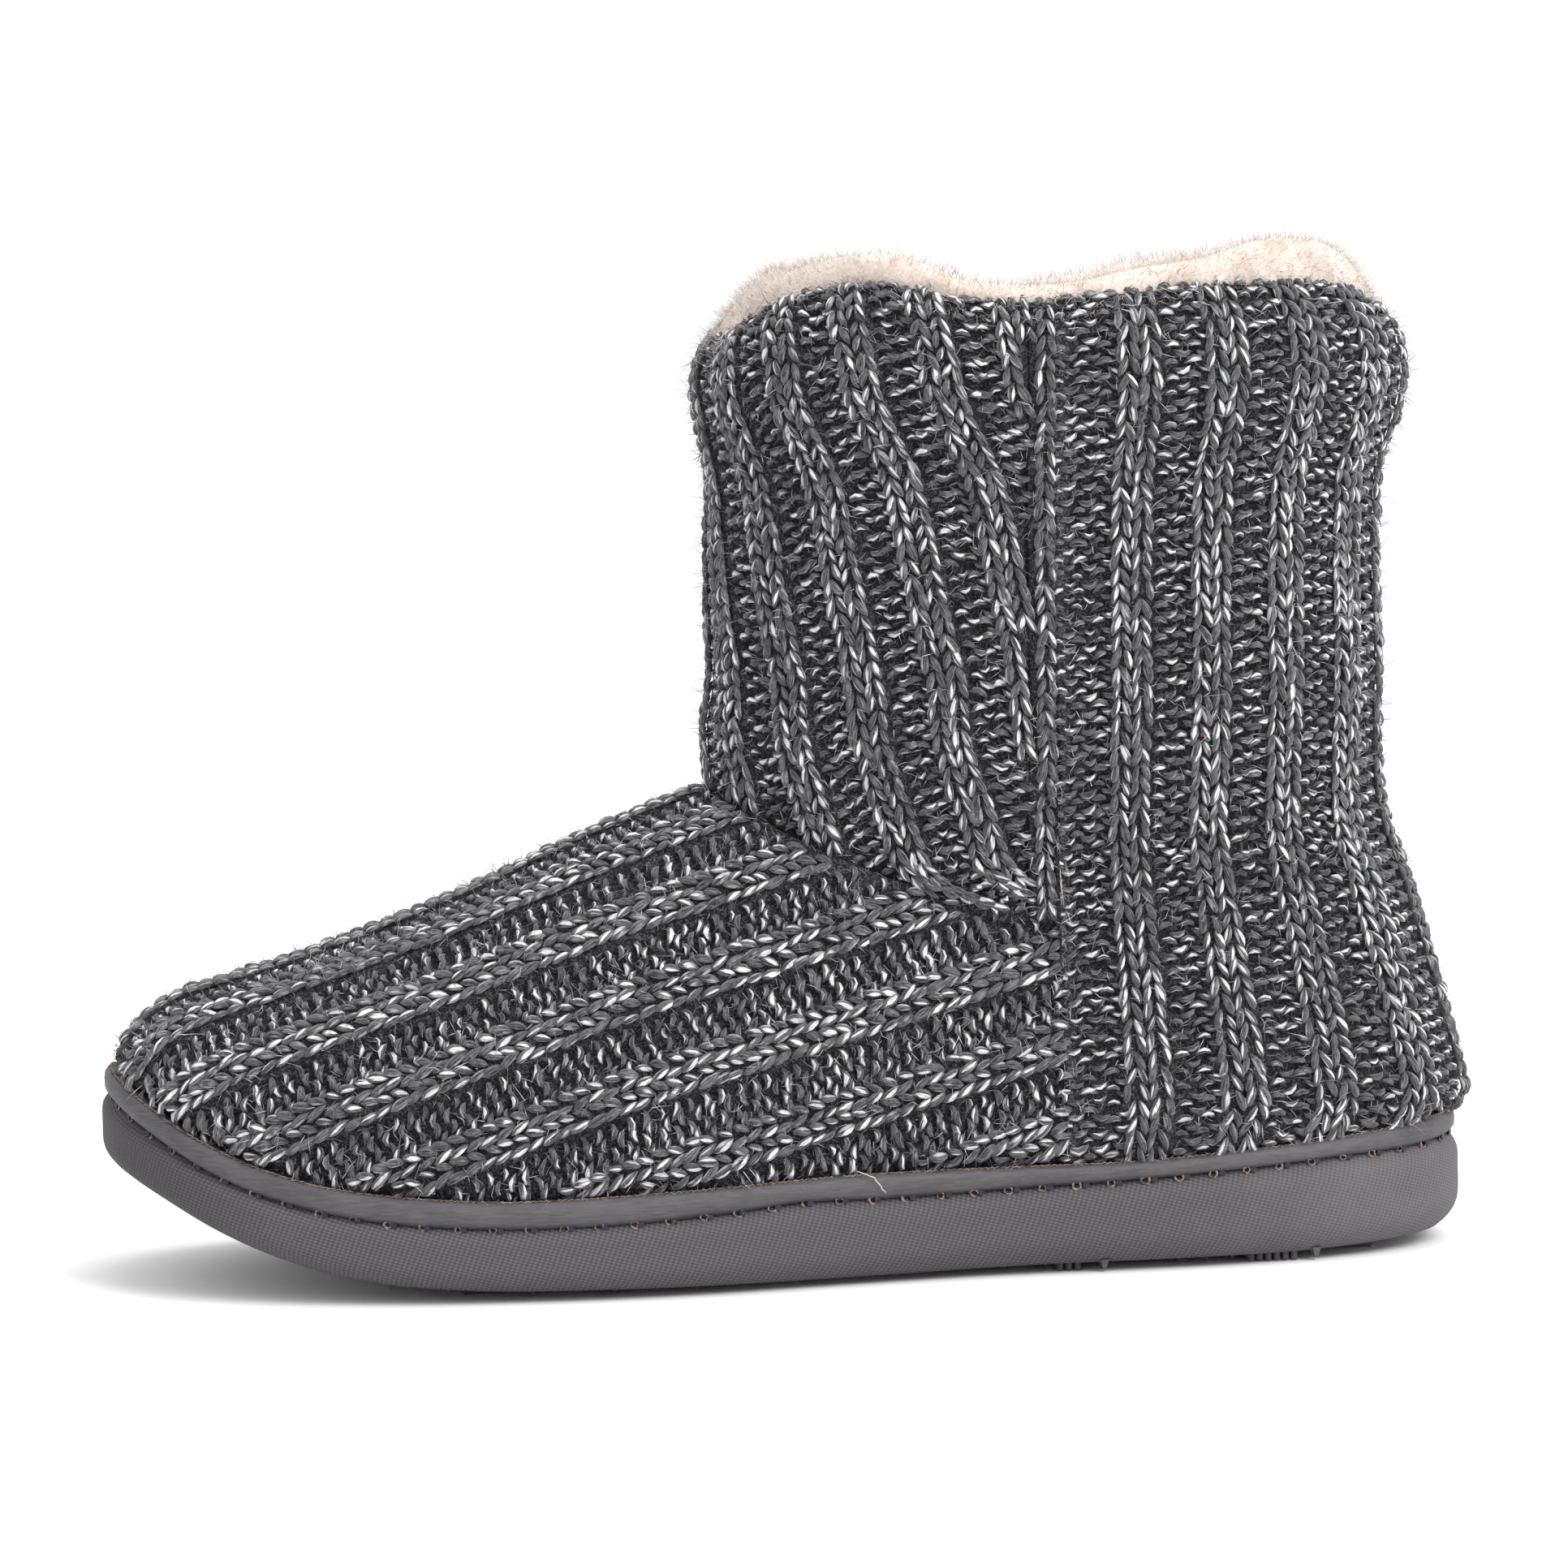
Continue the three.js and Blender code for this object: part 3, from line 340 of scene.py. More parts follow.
def plate(name, outer, inner):
    # a closed plate between an outer and an inner grid of points
    rows, columns = outer.shape[:2]
    count = rows * columns
    faces = gridFaces(rows, columns)
    back = gridFaces(rows, columns, count)[:, ::-1]
    grid = np.arange(count).reshape(rows, columns)
    rim = np.concatenate([grid[0, :-1], grid[:-1, -1], grid[-1, :0:-1], grid[:0:-1, 0]])
    after = np.roll(rim, -1)
    sides = np.stack([rim, rim + count, after + count, after], axis=1)
    vertices = np.concatenate([outer.reshape(-1, 3), inner.reshape(-1, 3)])
    return facingOut(newMesh(name, vertices, np.concatenate([faces, back, sides]).tolist()))


def addNode(tree, kind, settings=None, inputs=None, out=0):
    # one node: its settings come first, then the values or links of its sockets
    made = tree.nodes.new(kind)
    for key, value in (settings or {}).items():
        setattr(made, key, value)
    for key, value in (inputs or {}).items():
        named = {s.identifier: s for s in made.inputs}
        socket = named[key] if key in named else made.inputs[key]
        value = getattr(value, "socket", value)
        if isinstance(value, bpy.types.NodeSocket):
            tree.links.new(value, socket)
        else:
            socket.default_value = value
    named = {s.identifier: s for s in made.outputs}
    return named[out] if out in named else made.outputs[out]


# Shader maths as plain Python
class Value:
    def __init__(self, finish, socket):
        self.finish, self.socket = finish, socket

    def __add__(self, other):
        return self.finish.maths("ADD", self, other)

    def __sub__(self, other):
        return self.finish.maths("SUBTRACT", self, other)

    def __rsub__(self, other):
        return self.finish.maths("SUBTRACT", other, self)

    def __mul__(self, other):
        return self.finish.maths("MULTIPLY", self, other)

    __radd__ = __add__
    __rmul__ = __mul__


class Finish:
    # one material: its nodes come from one method, its sums from expressions
    def __init__(self, name, **fixed):
        self.material = bpy.data.materials.new(name)
        self.material.use_nodes = True
        self.tree = self.material.node_tree
        self.shader = self.tree.nodes["Principled BSDF"]
        for socket, value in fixed.items():
            self.shader.inputs[socket.replace("_", " ")].default_value = value

    def node(self, kind, settings=None, inputs=None, out=0):
        return Value(self, addNode(self.tree, kind, settings, inputs, out))

    def maths(self, operation, a, b=0.0):
        return self.node("ShaderNodeMath", {"operation": operation}, {0: a, 1: b})

    def noise(self, vector, scale, detail=2.0, roughness=0.5, distortion=0.0):
        sizes = {"Vector": vector, "Scale": scale, "Detail": detail, "Roughness": roughness,
                 "Distortion": distortion}
        return self.node("ShaderNodeTexNoise", None, sizes, "Fac")

    def step(self, value, low, high, fromValue=0.0, toValue=1.0):
        sizes = {"Value": value, "From Min": low, "From Max": high, "To Min": fromValue, "To Max": toValue}
        return self.node("ShaderNodeMapRange", {"interpolation_type": "SMOOTHSTEP"}, sizes, "Result")

    def mixColour(self, factor, a, b):
        sizes = {"Factor_Float": factor, "A_Color": a, "B_Color": b}
        return self.node("ShaderNodeMix", {"data_type": "RGBA"}, sizes, "Result_Color")

    def scaled(self, vector, factors):
        values = {0: vector, 1: factors}
        return self.node("ShaderNodeVectorMath", {"operation": "MULTIPLY"}, values, "Vector")

    def split(self, vector):
        made = self.node("ShaderNodeSeparateXYZ", None, {"Vector": vector})
        return [Value(self, s) for s in made.socket.node.outputs]

    def objectPlace(self):
        return self.node("ShaderNodeTexCoord", None, None, "Object")

    def attribute(self, name, out="Vector"):
        return self.node("ShaderNodeAttribute", {"attribute_name": name}, None, out)

    def bump(self, height, distance, strength=1.0):
        sizes = {"Height": height, "Distance": distance, "Strength": strength}
        return self.node("ShaderNodeBump", None, sizes)

    def feed(self, **links):
        for name, value in links.items():
            self.tree.links.new(value.socket, self.shader.inputs[name.replace("_", " ")])
        return self.material


def colour(red, green, blue):
    return (red, green, blue, 1.0)


def yarnFinish():
    # marled yarn: each leg is charcoal with a white and a grey sliver along it, and fine fibres
    white = {"centre": 0.15, "half": 0.07, "share": 0.5, "seeds": (7.13, 13.7, 29.3, 3.91)}
    grey = {"centre": -0.12, "half": 0.13, "share": 0.8, "seeds": (11.9, 5.37, 17.1, 23.7)}
    second = {"centre": 0.42, "half": 0.08, "share": 0.4, "seeds": (31.7, 9.71, 19.9, 41.3)}
    f = Finish("marledYarn", Roughness=0.88, Sheen_Weight=0.25, Sheen_Roughness=0.5)
    f.shader.inputs["Specular IOR Level"].default_value = 0.2
    around, along, _ = f.split(f.attribute("legMap"))
    run, course, chance = f.split(f.attribute("yarnPath"))
    cloud = f.noise(f.objectPlace(), 75, 2.0) - 0.5
    fine = f.node("ShaderNodeCombineXYZ", None, {"X": run * 0.35, "Y": around * 24, "Z": course}, "Vector")
    fibre = f.noise(fine, 1.0, 3.0, 0.65, 0.3)

    def pick(seed):
        return f.maths("FRACT", chance * seed)

    def sliver(ply):
        place, slant, size, there = [pick(seed) for seed in ply["seeds"]]
        middle = (place - 0.5) * 0.24 + (along - 0.5) * (slant - 0.35) * 0.5 + ply["centre"]
        gap = f.maths("ABSOLUTE", f.maths("FRACT", around - middle + 0.5) - 0.5)
        tapered = f.step(f.maths("ABSOLUTE", along - size * 0.2 - 0.4), 0.12, 0.42, 1.0, 0.0)
        wide = (size * 0.8 + 0.6) * tapered * ply["half"] + (fibre - 0.5) * 0.06
        shown = f.step(there - cloud * 1.1 - ply["share"], -0.03, 0.03, 1.0, 0.0)
        return f.step(gap - wide, -0.025, 0.02, 1.0, 0.0) * shown

    streak = f.step(fibre, 0.4, 0.62)
    mottle = f.noise(f.objectPlace(), 650, 3.0, 0.7)
    streak = f.maths("ADD", streak * 0.7, f.step(mottle, 0.4, 0.66) * 0.3)
    dark = f.mixColour(streak, colour(0.003, 0.003, 0.004), colour(0.17, 0.17, 0.185))
    middle = f.mixColour(streak, colour(0.03, 0.03, 0.034), colour(0.46, 0.46, 0.49))
    pale = f.mixColour(streak, colour(0.36, 0.36, 0.38), colour(0.84, 0.84, 0.87))
    body = f.mixColour(sliver(grey), dark, middle)
    body = f.mixColour(sliver(second) * 0.6, body, pale)
    twist = f.maths("ABSOLUTE", f.maths("SINE", (around + run * 0.12) * (3 * math.pi)))
    return f.feed(Base_Color=f.mixColour(sliver(white), body, pale),
                  Normal=f.bump(twist * 0.5 + fibre * 0.9, 0.0003, 0.8))


def underYarnShadeFinish():
    # near-black backing between the stitches: dark yarn with grey flecks, darkened further as painted shade
    # in the valleys
    f = Finish("yarnBehindPaintedShade", Roughness=0.95)
    place = f.objectPlace()
    mottle = f.noise(place, 1300, 4.0, 0.75, 1.5)
    return f.feed(Base_Color=f.mixColour(f.step(mottle, 0.46, 0.66), colour(0.0015, 0.0015, 0.0018),
                                         colour(0.11, 0.11, 0.118)),
                  Normal=f.bump(mottle, 0.0004, 0.7))


def fuzzFinish():
    f = Finish("woolFuzz", Roughness=0.8)
    f.shader.inputs["Specular IOR Level"].default_value = 0.2
    tone = f.noise(f.objectPlace(), 260, 2.0, 0.6)
    return f.feed(Base_Color=f.mixColour(f.step(tone, 0.4, 0.64), colour(0.1, 0.1, 0.107),
                                         colour(0.62, 0.62, 0.65)))


def plushFinish(name, deep, pale):
    f = Finish(name, Roughness=0.9, Sheen_Weight=0.15, Sheen_Roughness=0.6)
    f.shader.inputs["Subsurface Weight"].default_value = 0.25
    f.shader.inputs["Subsurface Radius"].default_value = (0.004, 0.003, 0.0024)
    f.shader.inputs["Subsurface Scale"].default_value = 1.0
    f.shader.inputs["Specular IOR Level"].default_value = 0.15
    place = f.objectPlace()
    clump = f.noise(place, 90, 3.0, 0.6)
    pile = f.noise(place, 1500, 3.0, 0.7)
    tone = f.mixColour(f.step(clump * 0.7 + pile * 0.3, 0.3, 0.66), deep, pale)
    return f.feed(Base_Color=tone, Normal=f.bump(clump * 1.5 + pile * 0.5, 0.0007, 0.6))


def soleFinish():
    # matt dark rubber, moulded with a fine woven grain, with dust patches, painted light at the heel end and
    # painted shade at the toe end
    grain = {"pitch": 1.1, "depth": 0.00016}
    f = Finish("solesideRubber", Roughness=0.8)
    f.shader.inputs["Specular IOR Level"].default_value = 0.35
    place = f.objectPlace()
    run, up, _ = f.split(f.attribute("sideMap"))
    wander = (f.noise(place, 160, 2.0) - 0.5) * 1.4
    slantA = f.maths("SINE", (run * 0.8 + up * 0.65) * (2 * math.pi / grain["pitch"]) + wander)
    slantB = f.maths("SINE", (run * 0.3 - up * 1.1) * (2 * math.pi / grain["pitch"]) + wander)
    weave = slantA * slantB * 0.5 + 0.5
    speck = f.noise(place, 1400, 2.0, 0.7)
    height = weave * 0.8 + speck * 0.5
    x, _, z = f.split(place)
    # the heel end is brightened: painted light, added into the dust patches' mask
    heelPaintedLight = f.step(x, 0.05, 0.134)
    dustAndHeelLight = f.step(f.noise(place, 45, 4.0, 0.7) * 0.6 + heelPaintedLight * 0.4, 0.3, 0.8)
    body = f.mixColour(f.step(weave, 0.2, 0.95), colour(0.05, 0.046, 0.05), colour(0.1, 0.093, 0.1))
    dustyAndHeelLit = f.mixColour(dustAndHeelLight * 0.26, body, colour(0.19, 0.18, 0.19))
    # the toe end is darkened: painted shade where the toe faces down
    toePaintedShade = f.mixColour(f.step(x, -0.1, -0.13) * 0.35, dustyAndHeelLit, colour(0.02, 0.018, 0.02))
    rough = f.step(speck, 0.2, 0.8, 0.72, 0.9)
    return f.feed(Base_Color=toePaintedShade, Roughness=rough, Normal=f.bump(height, grain["depth"], 0.9))


def randFinish():
    # smooth rubber with faint streaks drawn out along the strip
    f = Finish("smoothRand", Roughness=0.6)
    place = f.objectPlace()
    cloud = f.noise(place, 70, 3.0, 0.6)
    streak = f.noise(f.scaled(place, (0.3, 0.3, 3.0)), 900, 3.0, 0.7, 0.4)
    tone = f.mixColour(f.step(cloud * 0.45 + streak * 0.55, 0.34, 0.66), colour(0.04, 0.038, 0.042),
                       colour(0.082, 0.077, 0.082))
    return f.feed(Base_Color=tone, Roughness=f.step(cloud, 0.3, 0.7, 0.54, 0.72),
                  Normal=f.bump(cloud * 0.5 + streak * 0.5, 0.00025, 0.6))


def threadFinish():
    f = Finish("beigeThread", Roughness=0.85)
    place = f.objectPlace()
    tone = f.noise(place, 1100, 3.0, 0.7)
    return f.feed(Base_Color=f.mixColour(f.step(tone, 0.32, 0.68), colour(0.04, 0.028, 0.024),
                                         colour(0.3, 0.22, 0.19)))


def plainThreadFinish(name, tone):
    f = Finish(name, Roughness=0.85)
    fleck = f.noise(f.objectPlace(), 1500, 2.0)
    darker = colour(tone[0] * 0.6, tone[1] * 0.6, tone[2] * 0.6)
    return f.feed(Base_Color=f.mixColour(fleck, darker, colour(*tone)))


def holeShadeFinish():
    # near-black, faintly blue: painted shade for the inside of a stitch hole
    f = Finish("stitchHoleShade", Roughness=0.7)
    tone = f.noise(f.objectPlace(), 900, 2.0)
    return f.feed(Base_Color=f.mixColour(tone, colour(0.002, 0.002, 0.004), colour(0.012, 0.016, 0.03)))


finishes = {
    "yarn": yarnFinish(),
    "behind": underYarnShadeFinish(),
    "fuzz": fuzzFinish(),
    "plush": plushFinish("creamPlush", colour(0.42, 0.33, 0.28), colour(0.64, 0.57, 0.51)),
    "pile": plushFinish("creamPile", colour(0.54, 0.44, 0.38), colour(0.76, 0.69, 0.64)),
    "insole": plushFinish("insolePile", colour(0.5, 0.4, 0.34), colour(0.72, 0.62, 0.55)),
    "sole": soleFinish(),
    "rand": randFinish(),
    "thread": threadFinish(),
    "hole": holeShadeFinish(),
    "paleThread": plainThreadFinish("paleThread", (0.6, 0.56, 0.52)),
    "redThread": plainThreadFinish("redThread", (0.45, 0.03, 0.025)),
}


def dress(piece, finish):
    piece.data.materials.clear()
    piece.data.materials.append(finishes[finish])
    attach(piece, "root")
    return piece


# Knit
knit = {
    "course": 3.15, "ribHeight": 1.4, "seatDepth": 2.1, "legRise": -1.5, "purlRise": -1.35,
    "legHalf": 0.76, "legThick": 0.6, "purlHalf": 0.74, "purlThick": 0.6, "legSides": 5, "purlSides": 4,
    "legRings": 6, "purlRings": 5, "footSwell": 1.5, "seamGap": 1.0,
    "ribShare": 0.2, "ribEdge": 0.14, "swellFrom": 1, "swellOver": 5, "firstStitch": 0.35, "lastStitch": 0.6,
}
backing = {"fuzzRoot": 0.9, "thick": 1.5, "behindRand": 4.0}
legShape = {
    "foot": 0.43, "crossing": 0.36, "power": 1.15, "run": 4.2, "arch": 0.65, "dive": 0.75, "diveFrom": 0.35,
    "waleForWidth": 3.7, "yarnRun": 4.7,
}
arcShape = {
    "span": 0.8, "bow": 0.85, "slope": 0.2, "lowSide": -0.2, "highSide": -0.9, "arch": 0.75, "yarnRun": 4.2,
}
varies = {
    "lean": 0.25, "run": 0.08, "place": 0.25, "side": 0.1, "height": 0.12, "width": 0.13, "thick": 0.1,
    "arcSlope": 0.5, "arcSpan": 0.12, "arcSide": 0.15, "arcPlace": 0.2, "arcWidth": 0.16,
}
yarnSteps = {"wale": 13.0, "side": 6.2}  # how far the marl moves on from wale to wale and from side to side
ribs = {
    "vamp": {"first": -6 * 17.3, "pitch": 17.3, "count": 13},
    "front": {"first": -6 * 15.8, "pitch": 15.8, "count": 14},
    "back": {"first": 0.0793 * 166, "pitch": 0.0935 * 166, "count": 10},
}


def relief(panel, v):
    # height of the rib profile at a place across the panel
    r = ribs[panel]
    fromRib = np.abs((v - r["first"] + r["pitch"] / 2) % r["pitch"] - r["pitch"] / 2)
    share = fromRib / r["pitch"]
    return knit["ribHeight"] * (1 - ease((share - knit["ribShare"]) / knit["ribEdge"]))


def footLift(points):
    # the knit swells out again over the last few millimetres above the rand
    above = points[..., 2] - randTopZ(points[..., 0]) - knit["swellFrom"]
    return knit["footSwell"] * (1 - ease(above / knit["swellOver"]))


def vampEnds(v):
    # where a wale of the vamp leaves the throat seam and where it reaches the sole
    xs = np.linspace(100, last["sideSeamX"], 300)
    z = vampSheet.place(xs, np.full_like(xs, v))[:, 2]
    under = z < throatZ(xs)
    seam = xs[under][-1] if under.any() else xs[0]
    whole = vampWhole[1 if v < 0 else -1]
    inside = whole > abs(v) + 0.3
    toe = vampXs[inside][0] if inside.any() else vampXs[-1]
    return seam, toe


def columnsOf(panel):
    r = ribs[panel]
    wale = r["pitch"] / 4
    rows = []
    for k in range(-1, r["count"]):
        centre = r["first"] + k * r["pitch"]
        if k >= 0:
            rows += [(centre - wale / 2, "knit"), (centre + wale / 2, "knit")]
        rows += [(centre + 1.5 * wale, "purl"), (centre + 2.5 * wale, "purl")]
    return rows


def stitchesAlong(sheet, v, start, end, phase):
    # stitch places one course apart on one wale, with how far the coordinate runs per millimetre
    us = np.linspace(start, end, 240)
    points = sheet.place(us, np.full_like(us, v))
    run = np.concatenate([[0], np.cumsum(np.linalg.norm(np.diff(points, axis=0), axis=1))])
    if run[-1] < knit["course"]:
        return np.zeros(0), np.zeros(0), np.zeros(0)
    firstAt, lastAt = knit["course"] * (knit["firstStitch"] + phase), run[-1] - knit["lastStitch"]
    at = np.arange(firstAt, lastAt, knit["course"])
    u = np.interp(at, run, us)
    rate = np.interp(at + 1, run, us) - np.interp(at - 1, run, us)
    rate = rate / (np.minimum(at + 1, run[-1]) - np.maximum(at - 1, 0))
    return u, rate, np.arange(len(at))


def tubeMesh(name, centre, normal, halfWide, halfThick, sides, attributes):
    # closed leaf-shaped tubes along rows of points, drawn to a point at both ends
    count, rings = centre.shape[:2]
    tangent = np.gradient(centre, axis=1)
    tangent /= np.maximum(np.linalg.norm(tangent, axis=2, keepdims=True), 1e-9)
    across = np.cross(tangent, normal)
    across /= np.maximum(np.linalg.norm(across, axis=2, keepdims=True), 1e-9)
    up = np.cross(across, tangent)
    angles = 2 * np.pi * (np.arange(sides) + 0.5) / sides
    cosines, sines = np.cos(angles)[None, None, :, None], np.sin(angles)[None, None, :, None]
    inner = centre[:, 1:-1, None, :]
    ring = inner + across[:, 1:-1, None, :] * (halfWide[:, 1:-1, None, None] * cosines)
    ring = ring + up[:, 1:-1, None, :] * (halfThick[:, 1:-1, None, None] * sines)
    body = (rings - 2) * sides
    each = body + 2
    vertices = np.concatenate([ring.reshape(count, body, 3), centre[:, :1], centre[:, -1:]], axis=1)
    quads, tips, quadUv, tipUv = [], [], [], []
    for r in range(rings - 3):
        for k in range(sides):
            n = (k + 1) % sides
            quads.append([r * sides + k, r * sides + n, (r + 1) * sides + n, (r + 1) * sides + k])
            low, high = (r + 1) / (rings - 1), (r + 2) / (rings - 1)
            quadUv += [(k / sides, low), ((k + 1) / sides, low), ((k + 1) / sides, high), (k / sides, high)]
    for k in range(sides):
        n = (k + 1) % sides
        tips.append([k, body, n])
        tipUv += [(k / sides, 1 / (rings - 1)), ((k + 0.5) / sides, 0), ((k + 1) / sides, 1 / (rings - 1))]
        top = (rings - 3) * sides
        tips.append([top + k, top + n, body + 1])
        edge = (rings - 2) / (rings - 1)
        tipUv += [(k / sides, edge), ((k + 1) / sides, edge), ((k + 0.5) / sides, 1)]
    offset = (np.arange(count) * each)[:, None, None]
    quads = (np.array(quads)[None] + offset).reshape(-1, 4)
    tips = (np.array(tips)[None] + offset).reshape(-1, 3)
    piece = newMesh(name, vertices.reshape(-1, 3), quads.tolist() + tips.tolist())
    mesh = piece.data
    legUv = np.concatenate([np.tile(quadUv, (count, 1)), np.tile(tipUv, (count, 1))])
    cell = np.concatenate([np.repeat(np.arange(count), len(uv)) for uv in (quadUv, tipUv)])
    wide = math.ceil(math.sqrt(count * 2))
    tall = math.ceil(count / wide)
    bake = np.stack([(cell % wide + 0.06 + 0.88 * legUv[:, 0]) / wide,
                     (cell // wide + 0.06 + 0.88 * legUv[:, 1]) / tall], axis=1)
    bakeMap = mesh.uv_layers.new(name="OFBake")
    bakeMap.data.foreach_set("uv", bake.astype(np.float32).ravel())
    legMap = mesh.uv_layers.new(name="legMap")
    legMap.data.foreach_set("uv", legUv.astype(np.float32).ravel())
    for key, values in attributes.items():
        onRings = values[:, 1:-1, :].repeat(sides, axis=1)
        data = np.concatenate([onRings, values[:, :1], values[:, -1:]], axis=1)
        layer = mesh.attributes.new(key, "FLOAT_VECTOR", "POINT")
        layer.data.foreach_set("vector", data.astype(np.float32).ravel())
    return piece


def knitPanel(panel, sheet, wales, apexStep, fadeAt):
    # wales holds (v, kind, start, end); apexStep is the coordinate's direction towards each stitch's apex
    wale = ribs[panel]["pitch"] / 4
    legs, arcs = [], []
    for index, (v, kind, start, end) in enumerate(wales):
        u, rate, course = stitchesAlong(sheet, v, start, end, rng.uniform(-0.1, 0.1))
        rate = np.abs(rate) * apexStep
        rows = np.stack([u, rate, course, np.full_like(u, v), np.full_like(u, index)], axis=1)
        (legs if kind == "knit" else arcs).append(rows)

    def strands(rows, rings):
        # for each side of the stitch: its stitches' columns, a spread of chances, and places along it
        rows = np.concatenate(rows)
        t = np.linspace(0, 1, rings)[None]
        for side in (-1, 1):
            columns = [c[:, None] for c in rows.T]
            yield side, len(rows), columns, rng.normal(0, 1, (5, len(rows), 1)), t, \
                np.sin(np.pi * t ** 0.9) ** 0.6

    made = []
    for side, count, (u, rate, course, v, index), chance, t, swell in strands(legs, knit["legRings"]):
        lean = 1 + varies["lean"] * chance[0]
        across = side * wale * (legShape["foot"] - legShape["crossing"] * lean * t ** legShape["power"])
        across = across + varies["side"] * chance[4]
        along = (t - 0.5) * legShape["run"] * (1 + varies["run"] * chance[1]) + varies["place"] * chance[2]
        uu, vv = u + along * rate, v + across
        lift = knit["legRise"] + relief(panel, v) * fadeAt(uu, vv) + legShape["arch"] * np.sin(np.pi * t)
        lift = lift - legShape["dive"] * (t - legShape["diveFrom"]) + varies["height"] * chance[3]
        lift = lift + footLift(sheet.place(uu, vv))
        wide = knit["legHalf"] * (1 + varies["width"] * chance[1]) * swell
        wide = wide * (wale / legShape["waleForWidth"])
        thick = knit["legThick"] * (1 + varies["thick"] * chance[3]) * swell
        run = index * yarnSteps["wale"] + (0 if side < 0 else yarnSteps["side"]) + t * legShape["yarnRun"]
        made.append((uu, vv, lift, wide, thick, run, course, rng.random((count, 1))))
    purl = []
    for side, count, (u, rate, course, v, index), chance, t, swell in strands(arcs, knit["purlRings"]):
        slope = arcShape["slope"] + varies["arcSlope"] * chance[0]
        across = (t - 0.5) * wale * arcShape["span"] * (1 + varies["arcSpan"] * chance[1])
        across = across + (0 if side > 0 else wale / 2) + varies["arcSide"] * chance[4]
        along = side * arcShape["bow"] * np.sin(np.pi * t) + slope * (t - 0.5)
        along = along + arcShape["lowSide" if side > 0 else "highSide"] + varies["arcPlace"] * chance[2]
        uu, vv = u + along * rate, v + across
        lift = knit["purlRise"] + arcShape["arch"] * np.sin(np.pi * t) + varies["height"] * chance[3]
        lift = lift + footLift(sheet.place(uu, vv))
        wide = knit["purlHalf"] * (1 + varies["arcWidth"] * chance[1]) * swell
        thick = knit["purlThick"] * (1 + varies["thick"] * chance[4]) * swell
        run = index * yarnSteps["wale"] + (0 if side > 0 else yarnSteps["side"]) + t * arcShape["yarnRun"]
        purl.append((uu, vv, lift, wide, thick, run, course, rng.random((count, 1))))
    for label, sets, sides in (("Ribs", made, knit["legSides"]), ("Valleys", purl, knit["purlSides"])):
        parts = [np.concatenate([np.broadcast_to(s[i], s[0].shape) if s[i].shape[1] != 1 else s[i]
                                 for s in sets]) for i in range(8)]
        uu, vv, lift, wide, thick, run, course, chance = parts
        out = sheet.out(uu, vv)
        centre = sheet.place(uu, vv) + out * lift[..., None]
        path = np.stack([run, np.broadcast_to(course * 5.37, run.shape),
                         np.broadcast_to(chance, run.shape)], axis=2)
        piece = tubeMesh(panel + label, centre, out, wide, thick, sides, {"yarnPath": path})
        dress(piece, "yarn")
        print(panel + label, len(uu), "legs", len(piece.data.polygons), "faces")


def rimFade(u, v):
    # the ribs sink into the rolled rim
    return ease((u + 0.5) / 7) * (1 + 0 * v)


def vampFade(u, v):
    z = vampSheet.place(u, v)[..., 2]
    return ease((z - randTopZ(u) - 0.6) / 4) * ease((throatZ(u) - z + 0.4) / 4 + (u < 112))


def vampWales():
    for v, kind in columnsOf("vamp"):
        seam, toe = vampEnds(v)
        if seam - toe > 4:
            yield v, kind, seam - 0.3, toe + 0.6


def frontWales():
    drops = np.linspace(-2.6, 128, 300)
    for v, kind in columnsOf("front"):
        p = frontSheet.place(drops, np.full_like(drops, v))
        kept = (p[:, 0] < last["sideSeamX"] - 6.5) & (p[:, 2] > throatZ(p[:, 0]) + knit["seamGap"])
        if kept.sum() > 8:
            yield v, kind, drops[kept][-1], drops[kept][0]


def backWales():
    # the ribs, a strip outside each side seam above its corner, and a filled valley on each seam
    length, drops = last["backPanelLength"], np.linspace(-2.6, 176, 400)
    besideSeams = [(-2.9, "knit"), (length + 2.9, "knit"), (-0.35, "purl"), (length + 0.35, "purl")]
    for v, kind in columnsOf("back") + besideSeams:
        if -4 <= v <= length + 4:
            p = backSheet.place(drops, np.full_like(drops, v))
            strip = kind == "knit" and (v < 0 or v > length)
            foot = np.full(len(p), last["cornerZ"] + 2.0) if strip else randTopZ(p[:, 0]) + 0.4
            kept = p[:, 2] > foot
            yield v, kind, drops[kept][-1], drops[kept][0]


knitPanel("vamp", vampSheet, vampWales(), 1, vampFade)
knitPanel("front", frontSheet, frontWales(), -1, rimFade)
knitPanel("back", backSheet, backWales(), -1, rimFade)
print("knit stitched")


fuzzGrounds, liningParts = [], []
lining = {"outerDepth": 3.2, "innerDepth": 7.0, "below": 8.0}


def facedAlong(points, faces, outs):
    # turns a sheet's faces to the side its outward directions show
    a, b, c = [points[faces[:, k]] for k in (0, 1, 2)]
    turned = (np.cross(b - a, c - b) * outs[faces[:, 0]]).sum() < 0
    return faces[:, ::-1] if turned else faces


